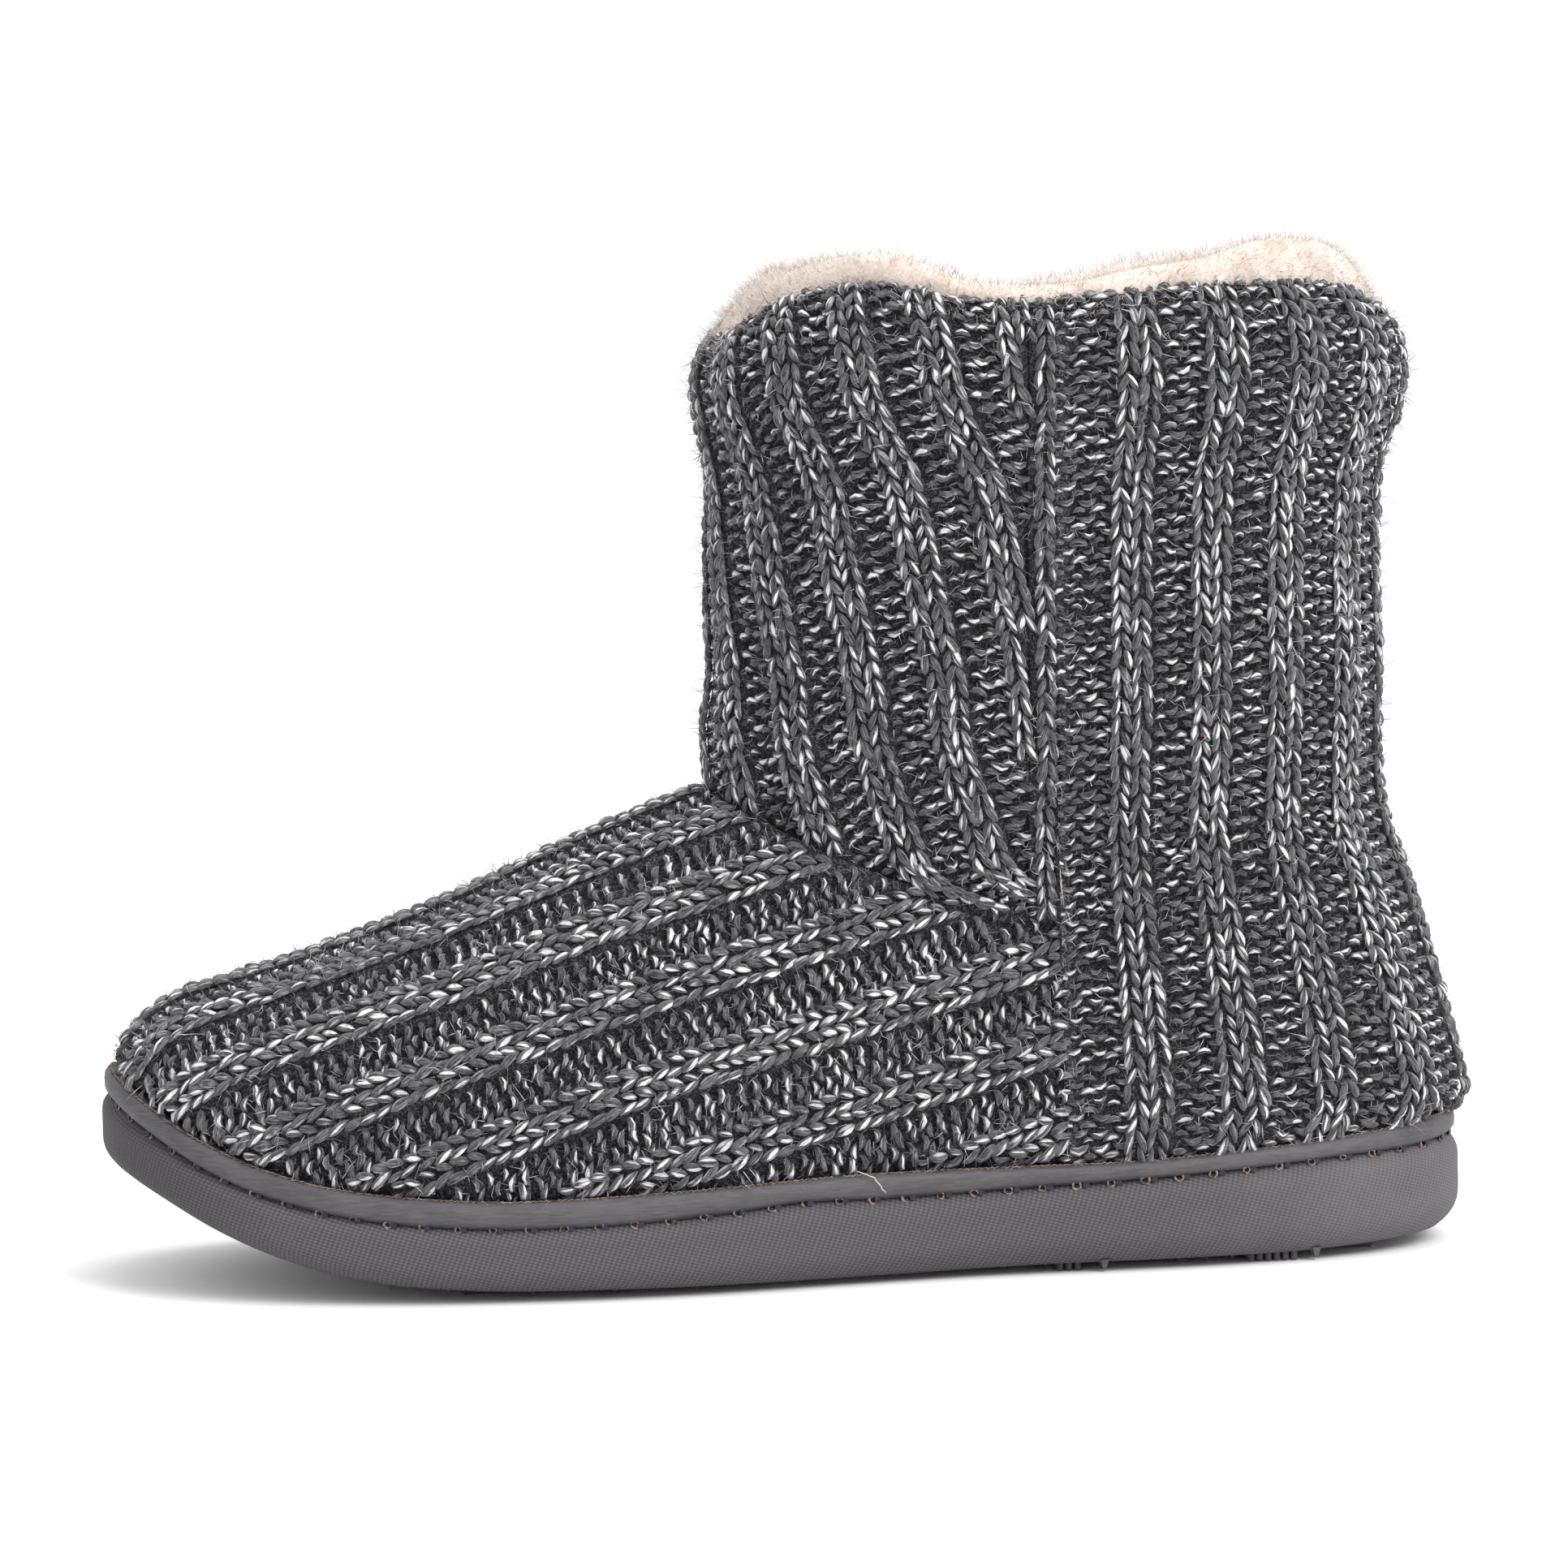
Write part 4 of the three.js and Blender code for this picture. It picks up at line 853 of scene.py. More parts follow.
def knitBase(name, sheet, us, vs, lift):
    out = sheet.out(us, vs)
    surface = sheet.place(us, vs)
    outer = surface + out * (lift - knit["seatDepth"] + footLift(surface))[..., None]
    if sheet is vampSheet:
        # the edge goes on down behind the rand
        outer[:, -1] = outer[:, -2] - np.array([0, 0, backing["behindRand"]])
    roots = (outer + out * backing["fuzzRoot"]).reshape(-1, 3)
    faces = facedAlong(roots, gridFaces(*us.shape), out.reshape(-1, 3))
    rows = np.unique(np.r_[0:us.shape[0]:3, us.shape[0] - 1])
    columns = np.unique(np.r_[0:us.shape[1]:4, us.shape[1] - 1])
    coarseU, coarseV = us[np.ix_(rows, columns)], vs[np.ix_(rows, columns)]
    if sheet is not vampSheet:
        # the shaft's lining starts below the pile of the collar
        below = lining["below"]
        coarseU = below + (coarseU - coarseU[0]) * (coarseU[-1] - below) / (coarseU[-1] - coarseU[0])
    face, inwards = sheet.place(coarseU, coarseV), -sheet.out(coarseU, coarseV)
    liningParts.append((face + inwards * lining["outerDepth"], face + inwards * lining["innerDepth"]))
    fuzzGrounds.append((name.replace("Base", "Fuzz"), roots, faces))
    inner = outer - out * backing["thick"]
    return dress(plate(name, outer, inner), "behind")


shares = np.linspace(0, 1, 40)[:, None]
sidePanels = []
for sign in (-1, 1):
    # each half runs from the ridge, and behind the throat from its seam, down to the sole
    stations = np.concatenate([vampXs[vampXs < 186.5][::2], [187.8]])
    whole = np.interp(stations, vampXs, vampWhole[sign])
    tries = np.linspace(0, 1, 300)[:, None] * whole
    over = vampSheet.place(stations[None] + 0 * tries, -sign * tries)[..., 2] > throatZ(stations) + 1.4
    over &= stations > 112
    seamReach = np.array([tries[over[:, i], i][-1] if over[:, i].any() else 0 for i in range(len(stations))])
    reach = blend(seamReach, whole - 0.05, np.linspace(0, 1, 76)[:, None]).T
    us = np.broadcast_to(stations[:, None], reach.shape)
    sidePanels.append((us, -sign * reach))
for us, grid in sidePanels:
    knitBase("vampBase", vampSheet, us, grid, relief("vamp", grid) * vampFade(us, grid))

across = np.linspace(-1, 1, 200)
rimSwell = 0.8  # the plates stand a little further out under the rolled rim


def frontPlace(drop, share):
    # coordinates of the front panel at a share of its width, which its side seams bound at every height
    v = share * 60
    for _ in range(14):
        z = np.interp(v, frontSheet.vs, frontTop) - drop
        lateral, medial = np.interp(z, ringZs, ringSeams[-1]), np.interp(z, ringZs, ringSeams[1])
        reach = share * (np.where(share > 0, lateral, medial) + 0.9)
        v = v + 0.8 * (reach - frontReach(z, v))
    return v


drops = np.linspace(0, 129, 300)[:, None]
place = frontSheet.place(drops, frontPlace(drops, across))
above = place[..., 2] > throatZ(np.minimum(place[..., 0], last["sideSeamX"])) - 1.4
lowest = np.array([drops[above[:, i], 0][-1] for i in range(len(across))])
drop = blend(-3.8, lowest, shares)
grid = frontPlace(np.maximum(drop, 0), across)
away = ease((last["sideSeamX"] - 3 - frontSheet.place(drop, grid)[..., 0]) / 5)
faded = rimFade(drop, grid)
lift = relief("front", grid) * faded * away - 1.2 * (1 - away) + rimSwell * (1 - faded)
knitBase("frontBase", frontSheet, drop, grid, lift)

vs = np.linspace(-6, last["backPanelLength"] + 6, 180)
lowest = np.zeros(len(vs))
drops = np.linspace(0, 176, 500)
for i, v in enumerate(vs):
    p = backSheet.place(drops, np.full_like(drops, v))
    strip = v < -0.5 or v > last["backPanelLength"] + 0.5
    foot = np.full(len(p), last["cornerZ"] + 1.0) if strip else randTopZ(p[:, 0]) - 2
    lowest[i] = drops[p[:, 2] > foot][-1]
us = blend(-3.8, lowest, shares)
grid = np.broadcast_to(vs, us.shape)
faded = rimFade(us, grid)
backBase = knitBase("backBase", backSheet, us, grid, relief("back", grid) * faded + rimSwell * (1 - faded))


liningNames = ["lateralVampLining", "medialVampLining", "frontLining", "backLining"]
for name, (outer, inner) in zip(liningNames, liningParts):
    dress(plate(name, outer, inner), "plush")


# Sole, rand and insole from rings round the footprint
def footprintPath(inset, count):
    t = np.linspace(0, 1, 1200, endpoint=False)
    x = blend(last["toeX"] + inset, last["heelX"] - inset, (1 - np.cos(np.pi * t)) / 2)
    lateral = np.stack([x, midline(x) - footHalf(x, -1, inset)], axis=1)
    x = x[::-1]
    medial = np.stack([x, midline(x) + footHalf(x, 1, inset)], axis=1)
    loop = np.concatenate([lateral, medial])
    run = np.concatenate([[0], np.cumsum(np.hypot(*np.diff(np.vstack([loop, loop[:1]]), axis=0).T))])
    at = np.linspace(0, run[-1], count, endpoint=False)
    closed = np.vstack([loop, loop[:1]])
    path = np.stack([np.interp(at, run, closed[:, 0]), np.interp(at, run, closed[:, 1])], axis=1)
    tangent = np.roll(path, -1, axis=0) - np.roll(path, 1, axis=0)
    tangent /= np.linalg.norm(tangent, axis=1, keepdims=True)
    inward = np.stack([-tangent[:, 1], tangent[:, 0]], axis=1)
    return path, inward, at


def soleUnder(x, y):
    along = np.clip((x - 120) / 60, 0, 1)
    return undersideZ(x) + 3 * np.sin(np.pi * along) ** 2 * ease((y + 8) / 34)


def ringsRound(path, inward, profile, heightAt):
    # rings round the footprint, one for each inset and level of a profile
    rings = []
    for inset, level in profile:
        place = path + inward * inset
        rings.append(np.column_stack([place, heightAt(place, level)]))
    return np.array(rings)


def ringsSolid(name, rings):
    # closed solid of rings round the footprint, capped by strips across the shoe
    levels, count = rings.shape[:2]
    faces = gridFaces(levels, count, aroundV=True).tolist()
    top = (levels - 1) * count
    for i in range(count // 2):
        a, b, c, d = i, i + 1, (count - i) % count, count - i - 1
        if b != d:
            faces.append([a, b, d] if a == c else [a, b, d, c])
            faces.append([top + d, top + b, top + a] if a == c else [top + c, top + d, top + b, top + a])
    return newMesh(name, rings.reshape(-1, 3), faces)


def grooveZ(x):
    # the stitched groove wanders up a little along the waist and the quarter
    waist = np.exp(-((x - 136) / 12) ** 2)
    return stitchZ(x) + 0.8 * ease((x - 90) / 40) * ease((262 - x) / 25) + 0.8 * waist


sole = {
    "round": 420, "levels": 17, "clearance": 0.2, "underTuck": 4.0, "underShare": 0.4, "underPower": 2.6,
    "topTuck": 3.0, "topFrom": 0.72, "topShare": 0.28, "topPower": 2.4,
}
path, inward, pathRun = footprintPath(0, sole["round"])
shares = np.linspace(0, 1, sole["levels"])
underTuck = sole["underTuck"] * (1 - np.minimum(shares / sole["underShare"], 1)) ** sole["underPower"]
topTuck = sole["topTuck"] * np.clip((shares - sole["topFrom"]) / sole["topShare"], 0, 1) ** sole["topPower"]
sideInset = sole["clearance"] + underTuck + topTuck
grooveHere, randTopHere = grooveZ(path[:, 0]), randTopZ(path[:, 0])
rings = ringsRound(path, inward, zip(sideInset, shares),
                   lambda place, share: blend(soleUnder(path[:, 0], path[:, 1]), grooveHere, share))
soleBody = ringsSolid("soleBody", rings)
sideMap = soleBody.data.attributes.new("sideMap", "FLOAT_VECTOR", "POINT")
heights = rings[..., 2].ravel()
values = np.stack([np.tile(pathRun, sole["levels"]), heights, np.zeros_like(heights)], axis=1)
sideMap.data.foreach_set("vector", values.astype(np.float32).ravel())
facingOut(soleBody)

# x, length along the shoe, inset from the lateral edge
lugTable = [(74, 9, 15), (90, 9, 15), (106, 9, 15), (122, 9, 15), (188, 6, 6), (203, 9, 13), (228, 10, 6),
            (246, 8, 13)]


def block(low, high):
    x, y, z = [[a, b] for a, b in zip(low, high)]
    vertices = [(x[i], y[j], z[k]) for i in (0, 1) for j in (0, 1) for k in (0, 1)]
    faces = [(0, 1, 3, 2), (4, 6, 7, 5), (0, 4, 5, 1), (2, 3, 7, 6), (0, 2, 6, 4), (1, 5, 7, 3)]
    return vertices, faces


def joinedBlocks(name, blocks, bevel):
    vertices, faces = [], []
    for low, high in blocks:
        v, f = block(low, high)
        faces += [[i + len(vertices) for i in face] for face in f]
        vertices += v
    piece = facingOut(newMesh(name, vertices, faces, False))
    rounded = piece.modifiers.new("rounded", "BEVEL")
    rounded.width, rounded.segments = bevel / 1000, 1
    graph = bpy.context.evaluated_depsgraph_get()
    piece.data = bpy.data.meshes.new_from_object(piece.evaluated_get(graph))
    piece.modifiers.clear()
    return piece


lugBlocks = []
studs = {"rows": (188, 228), "pitchX": 1.7, "pitchY": 2.4, "side": 1.15}
for x, length, inset in lugTable:
    left, right = float(footHalf(x, -1, inset)), float(footHalf(x, 1, 15))
    width = (left + right - 10) / 3
    top = float(undersideZ(x)) + 2
    for k in range(3):
        start = float(midline(x)) - left + k * (width + 5)
        if x not in studs["rows"]:
            lugBlocks.append(((x - length / 2, start, 0), (x + length / 2, start + width, top)))
            continue
        for a in np.arange(x - length / 2, x + length / 2 - 1, studs["pitchX"]):
            for b in np.arange(start, start + width - 1, studs["pitchY"]):
                lugBlocks.append(((a, b, 0), (a + studs["side"], b + studs["side"], top)))
lugs = joinedBlocks("lugs", lugBlocks, 0.35)

# Small pointed teeth between the lugs
teethRows = {
    "first": 56, "last": 256, "pitch": 5.3, "across": 4.2, "half": 0.8, "tall": 1.5, "clear": 1.2,
    "inset": 10, "edgeInset": 3.6, "sunk": 0.6, "tipLeast": 0.35,
}
vertices, faces = [], []
for x in np.arange(teethRows["first"], teethRows["last"], teethRows["pitch"]):
    nearLug = any(abs(x - lugX) < length / 2 + teethRows["clear"] for lugX, length, _ in lugTable)
    if nearLug or 128 < x < 182:  # the arch under the waist is plain
        continue
    atStuds = 184 < x < 194 or 222 < x < 237  # teeth reach the edge beside the rows of studs
    edge = teethRows["edgeInset"] if atStuds else teethRows["inset"]
    left, right = float(footHalf(x, -1, edge)), float(footHalf(x, 1, teethRows["inset"]))
    for y in np.arange(float(midline(x)) - left, float(midline(x)) + right, teethRows["across"]):
        base, h = float(soleUnder(x, y)) + teethRows["sunk"], teethRows["half"]
        tip = max(teethRows["tipLeast"], base - teethRows["sunk"] - teethRows["tall"])
        n = len(vertices)
        vertices += [(x - h, y - h, base), (x + h, y - h, base), (x + h, y + h, base), (x - h, y + h, base),
                     (x - h / 3, y - h / 3, tip), (x + h / 3, y - h / 3, tip), (x + h / 3, y + h / 3, tip),
                     (x - h / 3, y + h / 3, tip)]
        faces += [[n + a for a in f] for f in ((0, 1, 2, 3), (7, 6, 5, 4), (0, 4, 5, 1), (1, 5, 6, 2),
                                               (2, 6, 7, 3), (3, 7, 4, 0))]
treadTeeth = facingOut(newMesh("treadTeeth", vertices, faces, False))
for piece in (soleBody, lugs, treadTeeth):
    dress(piece, "sole")
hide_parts("outsole")

# Inset from the sole's edge, and share of the height from the groove to the rand's top
randProfile = [(2.2, -0.10), (1.3, 0.04), (0.85, 0.18), (0.8, 0.5), (0.95, 0.74), (1.5, 0.92), (2.6, 1.0),
               (5.4, 0.97), (5.4, 0.3), (4.6, -0.02)]
randLift = 0.15
rings = ringsRound(path, inward, randProfile,
                   lambda place, share: blend(grooveHere, randTopHere, share) + randLift)
rand = newMesh("stitchedRand", rings.reshape(-1, 3),
               gridFaces(len(rings), sole["round"], aroundU=True, aroundV=True).tolist())
dress(facingOut(rand), "rand")
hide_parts("rand")

# The pad: inset from its edge and height over the sole, round its crowned rim
pad = {"inset": 14.2, "round": 160, "clearance": 0.3,
       "profile": [(0.8, -0.9), (0.1, 0.4), (0.0, 1.8), (0.5, 3.2), (1.6, 3.9), (6, 4.1)]}
padPath, padInward, _ = footprintPath(pad["inset"], pad["round"])
rings = ringsRound(padPath, padInward, pad["profile"],
                   lambda place, lift: stitchZ(place[:, 0]) + max(lift, pad["clearance"]))
insole = facingOut(ringsSolid("insolePad", rings))
dress(insole, "insole")
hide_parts("insole")
print("sole, rand and insole made")


# Twisted thread between knit and rand, and the stitches in the groove below it
def closedPath(count, inset, share, lift):
    line, inn, run = footprintPath(0, count)
    place = line + inn * inset
    z = blend(grooveZ(line[:, 0]), randTopZ(line[:, 0]), share) + lift
    out = np.column_stack([-inn, np.zeros(count)])
    return np.column_stack([place, z]), out, run


def sweep(points, out, phase, twist, reach, half, sides):
    # a closed strand that winds round a path
    count = len(points)
    tangent = np.roll(points, -1, axis=0) - np.roll(points, 1, axis=0)
    tangent /= np.linalg.norm(tangent, axis=1, keepdims=True)
    up = np.cross(out, tangent)
    up /= np.linalg.norm(up, axis=1, keepdims=True)
    run = np.arange(count) / count
    turn = 2 * np.pi * (round(1 / twist) * run) + phase
    wobble = 1 + 0.25 * np.interp(run * 400, np.arange(401), rng.normal(0, 1, 401))
    centre = points + out * (reach * np.cos(turn) * wobble)[:, None]
    centre = centre + up * (reach * np.sin(turn) * wobble)[:, None]
    angles = 2 * np.pi * np.arange(sides) / sides
    ring = centre[:, None] + out[:, None] * (half * np.cos(angles))[None, :, None]
    ring = ring + up[:, None] * (half * np.sin(angles))[None, :, None]
    return ring.reshape(-1, 3), gridFaces(count, sides, aroundU=True, aroundV=True)


twisted = {
    "points": 2100, "inset": 2.2, "lift": 0.1, "twist": 2.4 / 620, "reach": 0.17, "half": 0.15, "sides": 3,
}
threadLine, threadOut, _ = closedPath(twisted["points"], twisted["inset"], 1.0, twisted["lift"])
vertices, faces = [], []
for phase in (0, np.pi):
    v, f = sweep(threadLine, threadOut, phase, twisted["twist"], twisted["reach"], twisted["half"],
                 twisted["sides"])
    faces += (f + sum(len(a) for a in vertices)).tolist()
    vertices.append(v)
seamThread = facingOut(newMesh("seamThread", np.concatenate(vertices), faces))
dress(seamThread, "thread")


def strand(name, points, half, finish):
    # one loose fibre along a few points
    bend = np.array(points, float)
    t = np.linspace(0, 1, 14)
    along = np.stack([np.interp(t, np.linspace(0, 1, len(bend)), bend[:, k]) for k in range(3)], axis=1)
    along[1:-1] += rng.normal(0, 0.07, (12, 3))
    out = np.tile(np.array([0.0, -1.0, 0.25]), (14, 1))
    wide = np.full((1, 14), half)
    return dress(tubeMesh(name, along[None], out[None], wide, wide, 4, {}), finish)


def facePoint(x, z, lift):
    # a point just outside the lateral wall, found on the side panels
    v = np.linspace(0, 110, 400)
    if x < last["sideSeamX"]:
        p = vampSheet.place(np.full_like(v, x), v)
        near = np.argmin(np.abs(p[:, 2] - z))
    else:
        p = ringSheet.place(z + 0 * v, v)
        near = np.argmin(np.abs(p[:, 0] - x))
    return p[near] + np.array([0, -lift, 0])


threadEnd = [facePoint(145, 22.6, 2.0), facePoint(147, 22.0, 4.2), facePoint(148.6, 21.0, 4.8),
             facePoint(150, 21.0, 5.0) - (0, 0, 1.8), facePoint(151.2, 21.0, 5.0) - (0, 0, 3.6)]
strand("looseThread", threadEnd, 0.13, "paleThread")
fibre = [facePoint(218.5, 103.5, 2.4), facePoint(219.3, 104.2, 2.9), facePoint(220.2, 103.6, 2.6)]
strand("redFibre", fibre, 0.16, "redThread")
print("threads and stitches laid")


class Tree:
    # one Geometry Nodes tree, with named inputs
    def __init__(self, name):
        self.group = bpy.data.node_groups.new(name, "GeometryNodeTree")
        self.sockets = {}
        self.group.interface.new_socket("Geometry", in_out="INPUT", socket_type="NodeSocketGeometry")
        self.group.interface.new_socket("Geometry", in_out="OUTPUT", socket_type="NodeSocketGeometry")
        self.entry = self.group.nodes.new("NodeGroupInput")
        self.exit = self.group.nodes.new("NodeGroupOutput")

    def input(self, name, kind):
        socket = self.group.interface.new_socket(name, in_out="INPUT", socket_type="NodeSocket" + kind)
        self.sockets[name] = socket.identifier
        return self.entry.outputs[name]

    def inputs(self, kinds):
        return [self.input(name, kind) for name, kind in kinds.items()]

    def node(self, kind, settings=None, inputs=None, out=0):
        return addNode(self.group, kind, settings, inputs, out)

    def random(self, low, high, seed):
        sizes = {"Min_001": low, "Max_001": high, "Seed": seed}
        return self.node("FunctionNodeRandomValue", {"data_type": "FLOAT"}, sizes, "Value_001")

    def shaken(self, geometry, scale, amount):
        # moves every point by a noise in space
        wave = self.node("ShaderNodeTexNoise", None, {"Scale": scale, "Detail": 2.0}, "Color")
        centred = self.node("ShaderNodeVectorMath", {"operation": "SUBTRACT"}, {0: wave, 1: (0.5, 0.5, 0.5)})
        moved = self.node("ShaderNodeVectorMath", {"operation": "SCALE"}, {0: centred, "Scale": amount})
        return self.node("GeometryNodeSetPosition", None, {"Geometry": geometry, "Offset": moved})

    def finish(self, geometry):
        self.group.links.new(geometry, self.exit.inputs["Geometry"])

    def grow(self, name, ground, values):
        # runs the tree on a ground mesh and keeps the result as a plain mesh of its own
        carrier = bpy.data.objects.new(name, ground.data)
        bpy.context.scene.collection.objects.link(carrier)
        modifier = carrier.modifiers.new(name, "NODES")
        modifier.node_group = self.group
        for key, value in values.items():
            modifier[self.sockets[key]] = value
        graph = bpy.context.evaluated_depsgraph_get()
        mesh = bpy.data.meshes.new_from_object(carrier.evaluated_get(graph))
        bpy.data.objects.remove(carrier)
        piece = bpy.data.objects.new(name, mesh)
        bpy.context.scene.collection.objects.link(piece)
        return piece


def stitchTree():
    # rings of frayed thread round the stitch holes, spaced along the groove
    t = Tree("grooveStitches")
    count, radius, half, fray, finish = t.inputs({
        "Stitches": "Int", "Ring radius": "Float", "Thread half thickness": "Float", "Fray": "Float",
        "Material": "Material"})
    line = t.node("GeometryNodeMeshToCurve", None, {"Mesh": t.entry.outputs["Geometry"]})
    points = t.node("GeometryNodeCurveToPoints", {"mode": "COUNT"}, {"Curve": line, "Count": count})
    outwards = t.node("GeometryNodeInputNamedAttribute", {"data_type": "FLOAT_VECTOR"}, {"Name": "outwards"},
                      "Attribute")
    faced = t.node("FunctionNodeAlignRotationToVector", {"axis": "Z"}, {"Vector": outwards})
    ring = t.node("GeometryNodeCurvePrimitiveCircle", None, {"Resolution": 12, "Radius": radius})
    section = t.node("GeometryNodeCurvePrimitiveCircle", None, {"Resolution": 4, "Radius": half})
    thread = t.node("GeometryNodeCurveToMesh", None, {"Curve": ring, "Profile Curve": section})
    size = t.random(0.75, 1.15, 4)
    placed = t.node("GeometryNodeInstanceOnPoints", None,
                    {"Points": points, "Instance": thread, "Rotation": faced, "Scale": size})
    real = t.node("GeometryNodeRealizeInstances", None, {"Geometry": placed})
    frayed = t.shaken(real, 1500.0, fray)
    t.finish(t.node("GeometryNodeSetMaterial", None, {"Geometry": frayed, "Material": finish}))
    return t


def hairTree():
    # bent, tapering hairs scattered over a surface, each turned at random, all combed by a slow noise
    t = Tree("hairs")
    density, length, half, tilt, curl, curlScale, bends, seed, finish = t.inputs({
        "Hairs per square metre": "Float", "Length": "Float", "Half thickness": "Float", "Tilt": "Float",
        "Curl": "Float", "Curl scale": "Float", "Bends": "Int", "Seed": "Int", "Material": "Material"})
    scatter = t.node("GeometryNodeDistributePointsOnFaces", None,
                     {"Mesh": t.entry.outputs["Geometry"], "Density": density, "Seed": seed})
    rotation = scatter.node.outputs["Rotation"]
    ratio = t.node("ShaderNodeMath", {"operation": "DIVIDE"}, {0: half, 1: length})
    hair = t.node("GeometryNodeMeshCone", {"fill_type": "TRIANGLE_FAN"},
                  {"Vertices": 3, "Side Segments": bends, "Radius Top": 0.0, "Radius Bottom": ratio,
                   "Depth": 1.0})
    spin, lean = t.random(0.0, 6.2832, 3), t.random(0.15, 1.0, 5)
    leaned = t.node("ShaderNodeMath", {"operation": "MULTIPLY"}, {0: lean, 1: tilt})
    turned = t.node("FunctionNodeAxisAngleToRotation", None, {"Axis": (0, 0, 1), "Angle": spin})
    tipped = t.node("FunctionNodeAxisAngleToRotation", None, {"Axis": (0, 1, 0), "Angle": leaned})
    first = t.node("FunctionNodeRotateRotation", {"rotation_space": "LOCAL"},
                   {"Rotation": rotation, "Rotate By": turned})
    second = t.node("FunctionNodeRotateRotation", {"rotation_space": "LOCAL"},
                    {"Rotation": first, "Rotate By": tipped})
    size = t.random(0.55, 1.0, 8)
    scale = t.node("ShaderNodeMath", {"operation": "MULTIPLY"}, {0: size, 1: length})
    spread = t.node("GeometryNodeInstanceOnPoints", None,
                    {"Points": scatter, "Instance": hair, "Rotation": second, "Scale": scale})
    real = t.node("GeometryNodeRealizeInstances", None, {"Geometry": spread})
    curled = t.shaken(real, curlScale, curl)
    shaded = t.node("GeometryNodeSetShadeSmooth", None, {"Geometry": curled})
    t.finish(t.node("GeometryNodeSetMaterial", None, {"Geometry": shaded, "Material": finish}))
    return t


groove = {"stitches": 93, "points": 980, "inset": 1.7, "drop": -0.35, "radius": 0.0008, "half": 0.00022,
          "fray": 0.0011, "holeWide": 0.66, "holeHigh": 0.6, "holeDepths": (0.25, -0.5)}
grooveLine, grooveOut, _ = closedPath(groove["points"], groove["inset"], 0, groove["drop"])


def sewStitches():
    mesh = bpy.data.meshes.new("grooveLine")
    edges = [(i, (i + 1) % len(grooveLine)) for i in range(len(grooveLine))]
    mesh.from_pydata(((grooveLine - rowOrigin) / 1000).tolist(), edges, [])
    outwards = mesh.attributes.new("outwards", "FLOAT_VECTOR", "POINT")
    outwards.data.foreach_set("vector", grooveOut.astype(np.float32).ravel())
    path = bpy.data.objects.new("grooveLine", mesh)
    rings = stitchTree().grow("grooveStitches", path, {
        "Stitches": groove["stitches"], "Ring radius": groove["radius"],
        "Thread half thickness": groove["half"], "Fray": groove["fray"], "Material": finishes["thread"]})
    bpy.data.objects.remove(path)
    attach(rings, "root")
    print("grooveStitches", len(rings.data.polygons), "faces")


def plugHoleShade():
    # a short dark plug at each stitch: painted shade standing in for the inside of the hole
    vertices, faces = [], []
    angles = np.linspace(0, 2 * np.pi, 9)[:-1]
    for i in np.linspace(0, len(grooveLine), groove["stitches"], endpoint=False).astype(int):
        middle, out = grooveLine[i], grooveOut[i]
        along = np.cross(out, (0, 0, 1))
        n = len(vertices)
        for depth in groove["holeDepths"]:
            for a in angles:
                side = along * (groove["holeWide"] * math.cos(a))
                vertices.append(middle + out * depth + side + (0, 0, groove["holeHigh"] * math.sin(a)))
        faces += [[n + k for k in range(8)], [n + 15 - k for k in range(8)]]
        faces += [[n + k, n + 8 + k, n + 8 + (k + 1) % 8, n + (k + 1) % 8] for k in range(8)]
    dress(facingOut(newMesh("stitchHoleShadePlugs", vertices, faces, False)), "hole")


sewStitches()
plugHoleShade()

hairs = hairTree()


def growHairs(name, points, faces, sizes, seed, finish):
    ground = newMesh("hairGround", points, faces.tolist())
    grown = hairs.grow(name, ground, {
        "Hairs per square metre": sizes["density"], "Length": sizes["length"],
        "Half thickness": sizes["half"], "Tilt": sizes["tilt"], "Curl": sizes["curl"],
        "Curl scale": sizes["scale"], "Bends": sizes["bends"], "Seed": seed, "Material": finishes[finish]})
    bpy.data.objects.remove(ground)
    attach(grown, "root")
    print(grown.name, len(grown.data.polygons), "faces")


fuzz = {"density": 215000, "length": 0.0048, "half": 0.00008, "tilt": 1.42, "curl": 0.003, "scale": 420.0,
        "bends": 2, "firstSeed": 11}
for index, (name, points, faces) in enumerate(fuzzGrounds):
    growHairs(name, points, faces, fuzz, fuzz["firstSeed"] + index, "fuzz")

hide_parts("upper")
print("fuzz grown")

# Plush collar: rings that rise over the rim, lie back and go down inside, with pile grown on them
plush = {
    "topGap": 0.8, "farSideLower": 1.3, "farSideFrom": 20, "turns": 240, "density": 1.2e6, "length": 0.0038,
    "half": 0.00008, "tilt": 0.8, "curl": 0.003, "scale": 300.0, "bends": 2, "seed": 31,
}
collarProfile = {
    "inset": [5.6, 5.0, 4.2, 3.9, 4.4, 5.8, 7.4, 9.0, 10.4, 11.2, 11.2, 11.0, 10.8, 10.8, 10.8, 10.8],
    "drop": [16, 8, 4.0, 2.4, 1.2, 0.4, 0.2, 0.8, 2.2, 5, 10, 20, 34, 50, 66, 84],
}
lumpShares = np.array([0.4, 0.8, 1, 1, 1, 0.7, 0.3])[:, None]  # rings 3 to 9, over the top


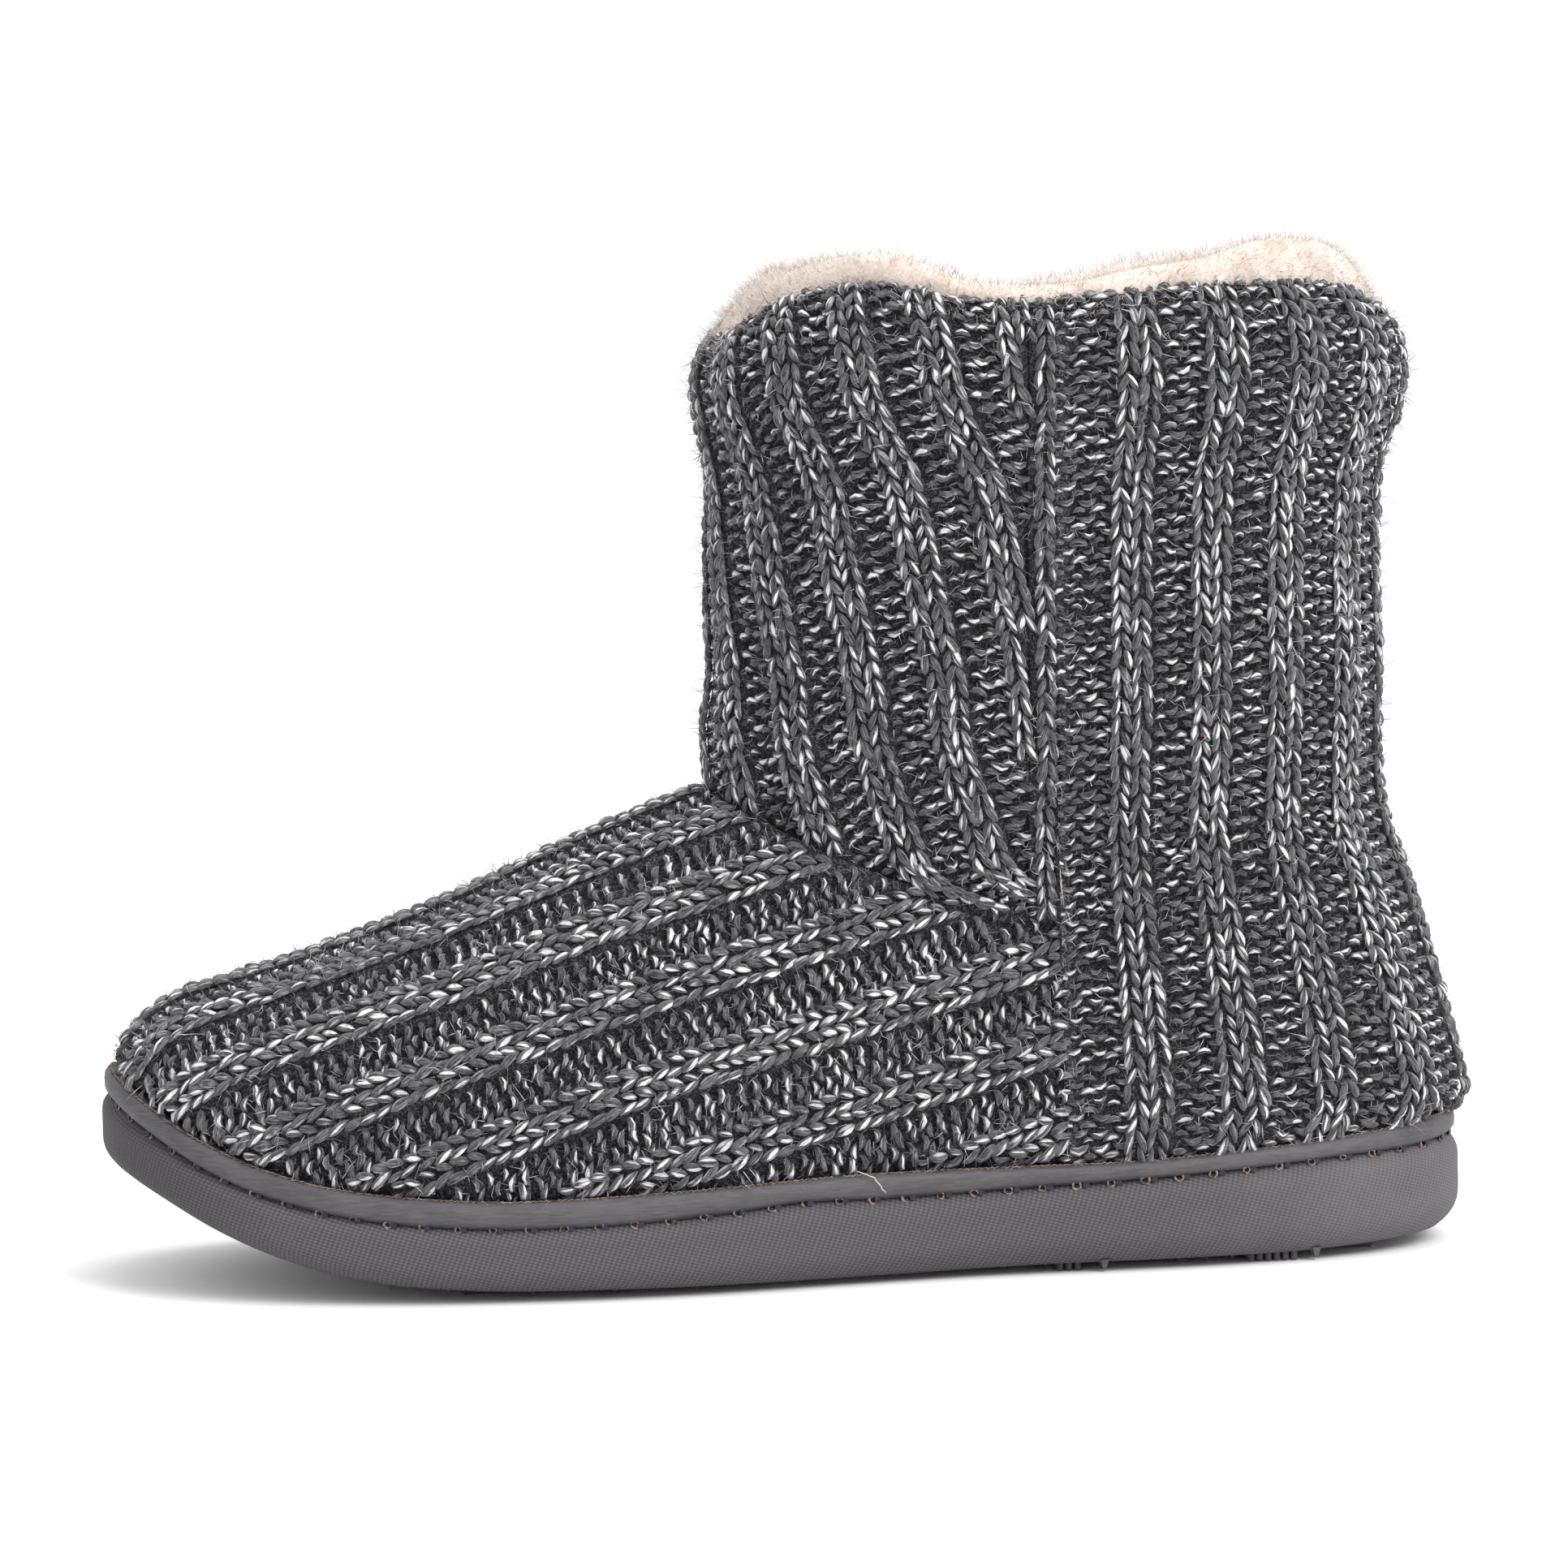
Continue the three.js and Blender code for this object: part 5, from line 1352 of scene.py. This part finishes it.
def collarRings():
    share = np.linspace(-1, 1, plush["turns"], endpoint=False)
    rings = []
    for inset, drop in zip(collarProfile["inset"], collarProfile["drop"]):
        points, ends, _ = ringGrid(inset, ringZs, ringReaches)
        here = Sheet(ringZs, ringReaches, points)
        z = np.full(plush["turns"], last["shaftTopZ"])
        for _ in range(10):
            p = here.place(z, -share * np.interp(z, ringZs, ends[-1]))
            z = plushZ(p[:, 0]) - plush["topGap"] - drop
            z = z - plush["farSideLower"] * ease(p[:, 1] / plush["farSideFrom"])
        rings.append(here.place(z, -share * np.interp(z, ringZs, ends[-1])))
    rings = np.array(rings)
    rings[3:10, :, 2] += lumpShares * (np.sin(share * 40) * 0.3 + np.sin(share * 23 + 1) * 0.5)
    return rings


rings = collarRings()
faces = gridFaces(len(rings), plush["turns"], aroundV=True)[:, ::-1]
collarPile = dress(newMesh("collarPile", rings.reshape(-1, 3), faces.tolist()), "plush")
faces = gridFaces(11, plush["turns"], aroundV=True)[:, ::-1]
growHairs("collarPileHairs", rings[1:12].reshape(-1, 3), faces, plush, plush["seed"], "pile")
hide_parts("plush_lining")
print("collar made")

# Floor, light and camera
floorMesh = bpy.data.meshes.new("floor")
floorMesh.from_pydata([(-9, -6, 0), (9, -6, 0), (9, 30, 0), (-9, 30, 0)], [], [(0, 1, 2, 3)])
floor = bpy.data.objects.new("floor", floorMesh)
bpy.context.scene.collection.objects.link(floor)
paleFloor = Finish("paleFloor", Roughness=0.6)
tone = paleFloor.noise(paleFloor.objectPlace(), 3, 2.0)
paleFloor.feed(Base_Color=paleFloor.mixColour(tone, colour(0.9, 0.9, 0.9), colour(0.93, 0.93, 0.93)))
floorMesh.materials.append(paleFloor.material)

world = bpy.data.worlds.new("softWhite")
world.use_nodes = True
world.node_tree.nodes["Background"].inputs["Color"].default_value = (1, 1, 1, 1)
world.node_tree.nodes["Background"].inputs["Strength"].default_value = 1.14
bpy.context.scene.world = world
bpy.context.scene.view_settings.view_transform = "Standard"


def softbox(name, place, aim, size, watts):
    light = bpy.data.lights.new(name, "AREA")
    light.energy, light.size = watts, size
    lamp = bpy.data.objects.new(name, light)
    lamp.location = place
    lamp.rotation_euler = (Vector(aim) - Vector(place)).to_track_quat("-Z", "Y").to_euler()
    bpy.context.scene.collection.objects.link(lamp)


softbox("keyLight", (0.7, -0.85, 1.0), (0.02, 0, 0.09), 0.8, 17)
softbox("topLight", (0.1, 0.1, 1.35), (0, 0, 0.1), 0.7, 6)

view = {"target": (0.0005, 0.0, 0.0936), "azimuth": -6.0, "distance": 1.25, "height": 0.205, "roll": 1.2,
        "mmPerPixel": 0.1597, "pixels": 1932}
azimuth = math.radians(view["azimuth"])
target = Vector(view["target"])
level = math.sqrt(view["distance"] ** 2 - (view["height"] - target[2]) ** 2)
eye = target + Vector((math.sin(azimuth) * level, -math.cos(azimuth) * level, view["height"] - target[2]))
camera = bpy.data.objects.new("camera", bpy.data.cameras.new("camera"))
camera.location = eye
facing = (target - eye).to_track_quat("-Z", "Y")
camera.rotation_mode = "QUATERNION"
camera.rotation_quaternion = facing @ Quaternion((0, 0, 1), -math.radians(view["roll"]))
camera.data.sensor_width = 36
camera.data.lens = 36 * (view["distance"] * 1000 / view["mmPerPixel"]) / view["pixels"]
camera.data.clip_start, camera.data.clip_end = 0.05, 60
bpy.context.scene.collection.objects.link(camera)
bpy.context.scene.camera = camera
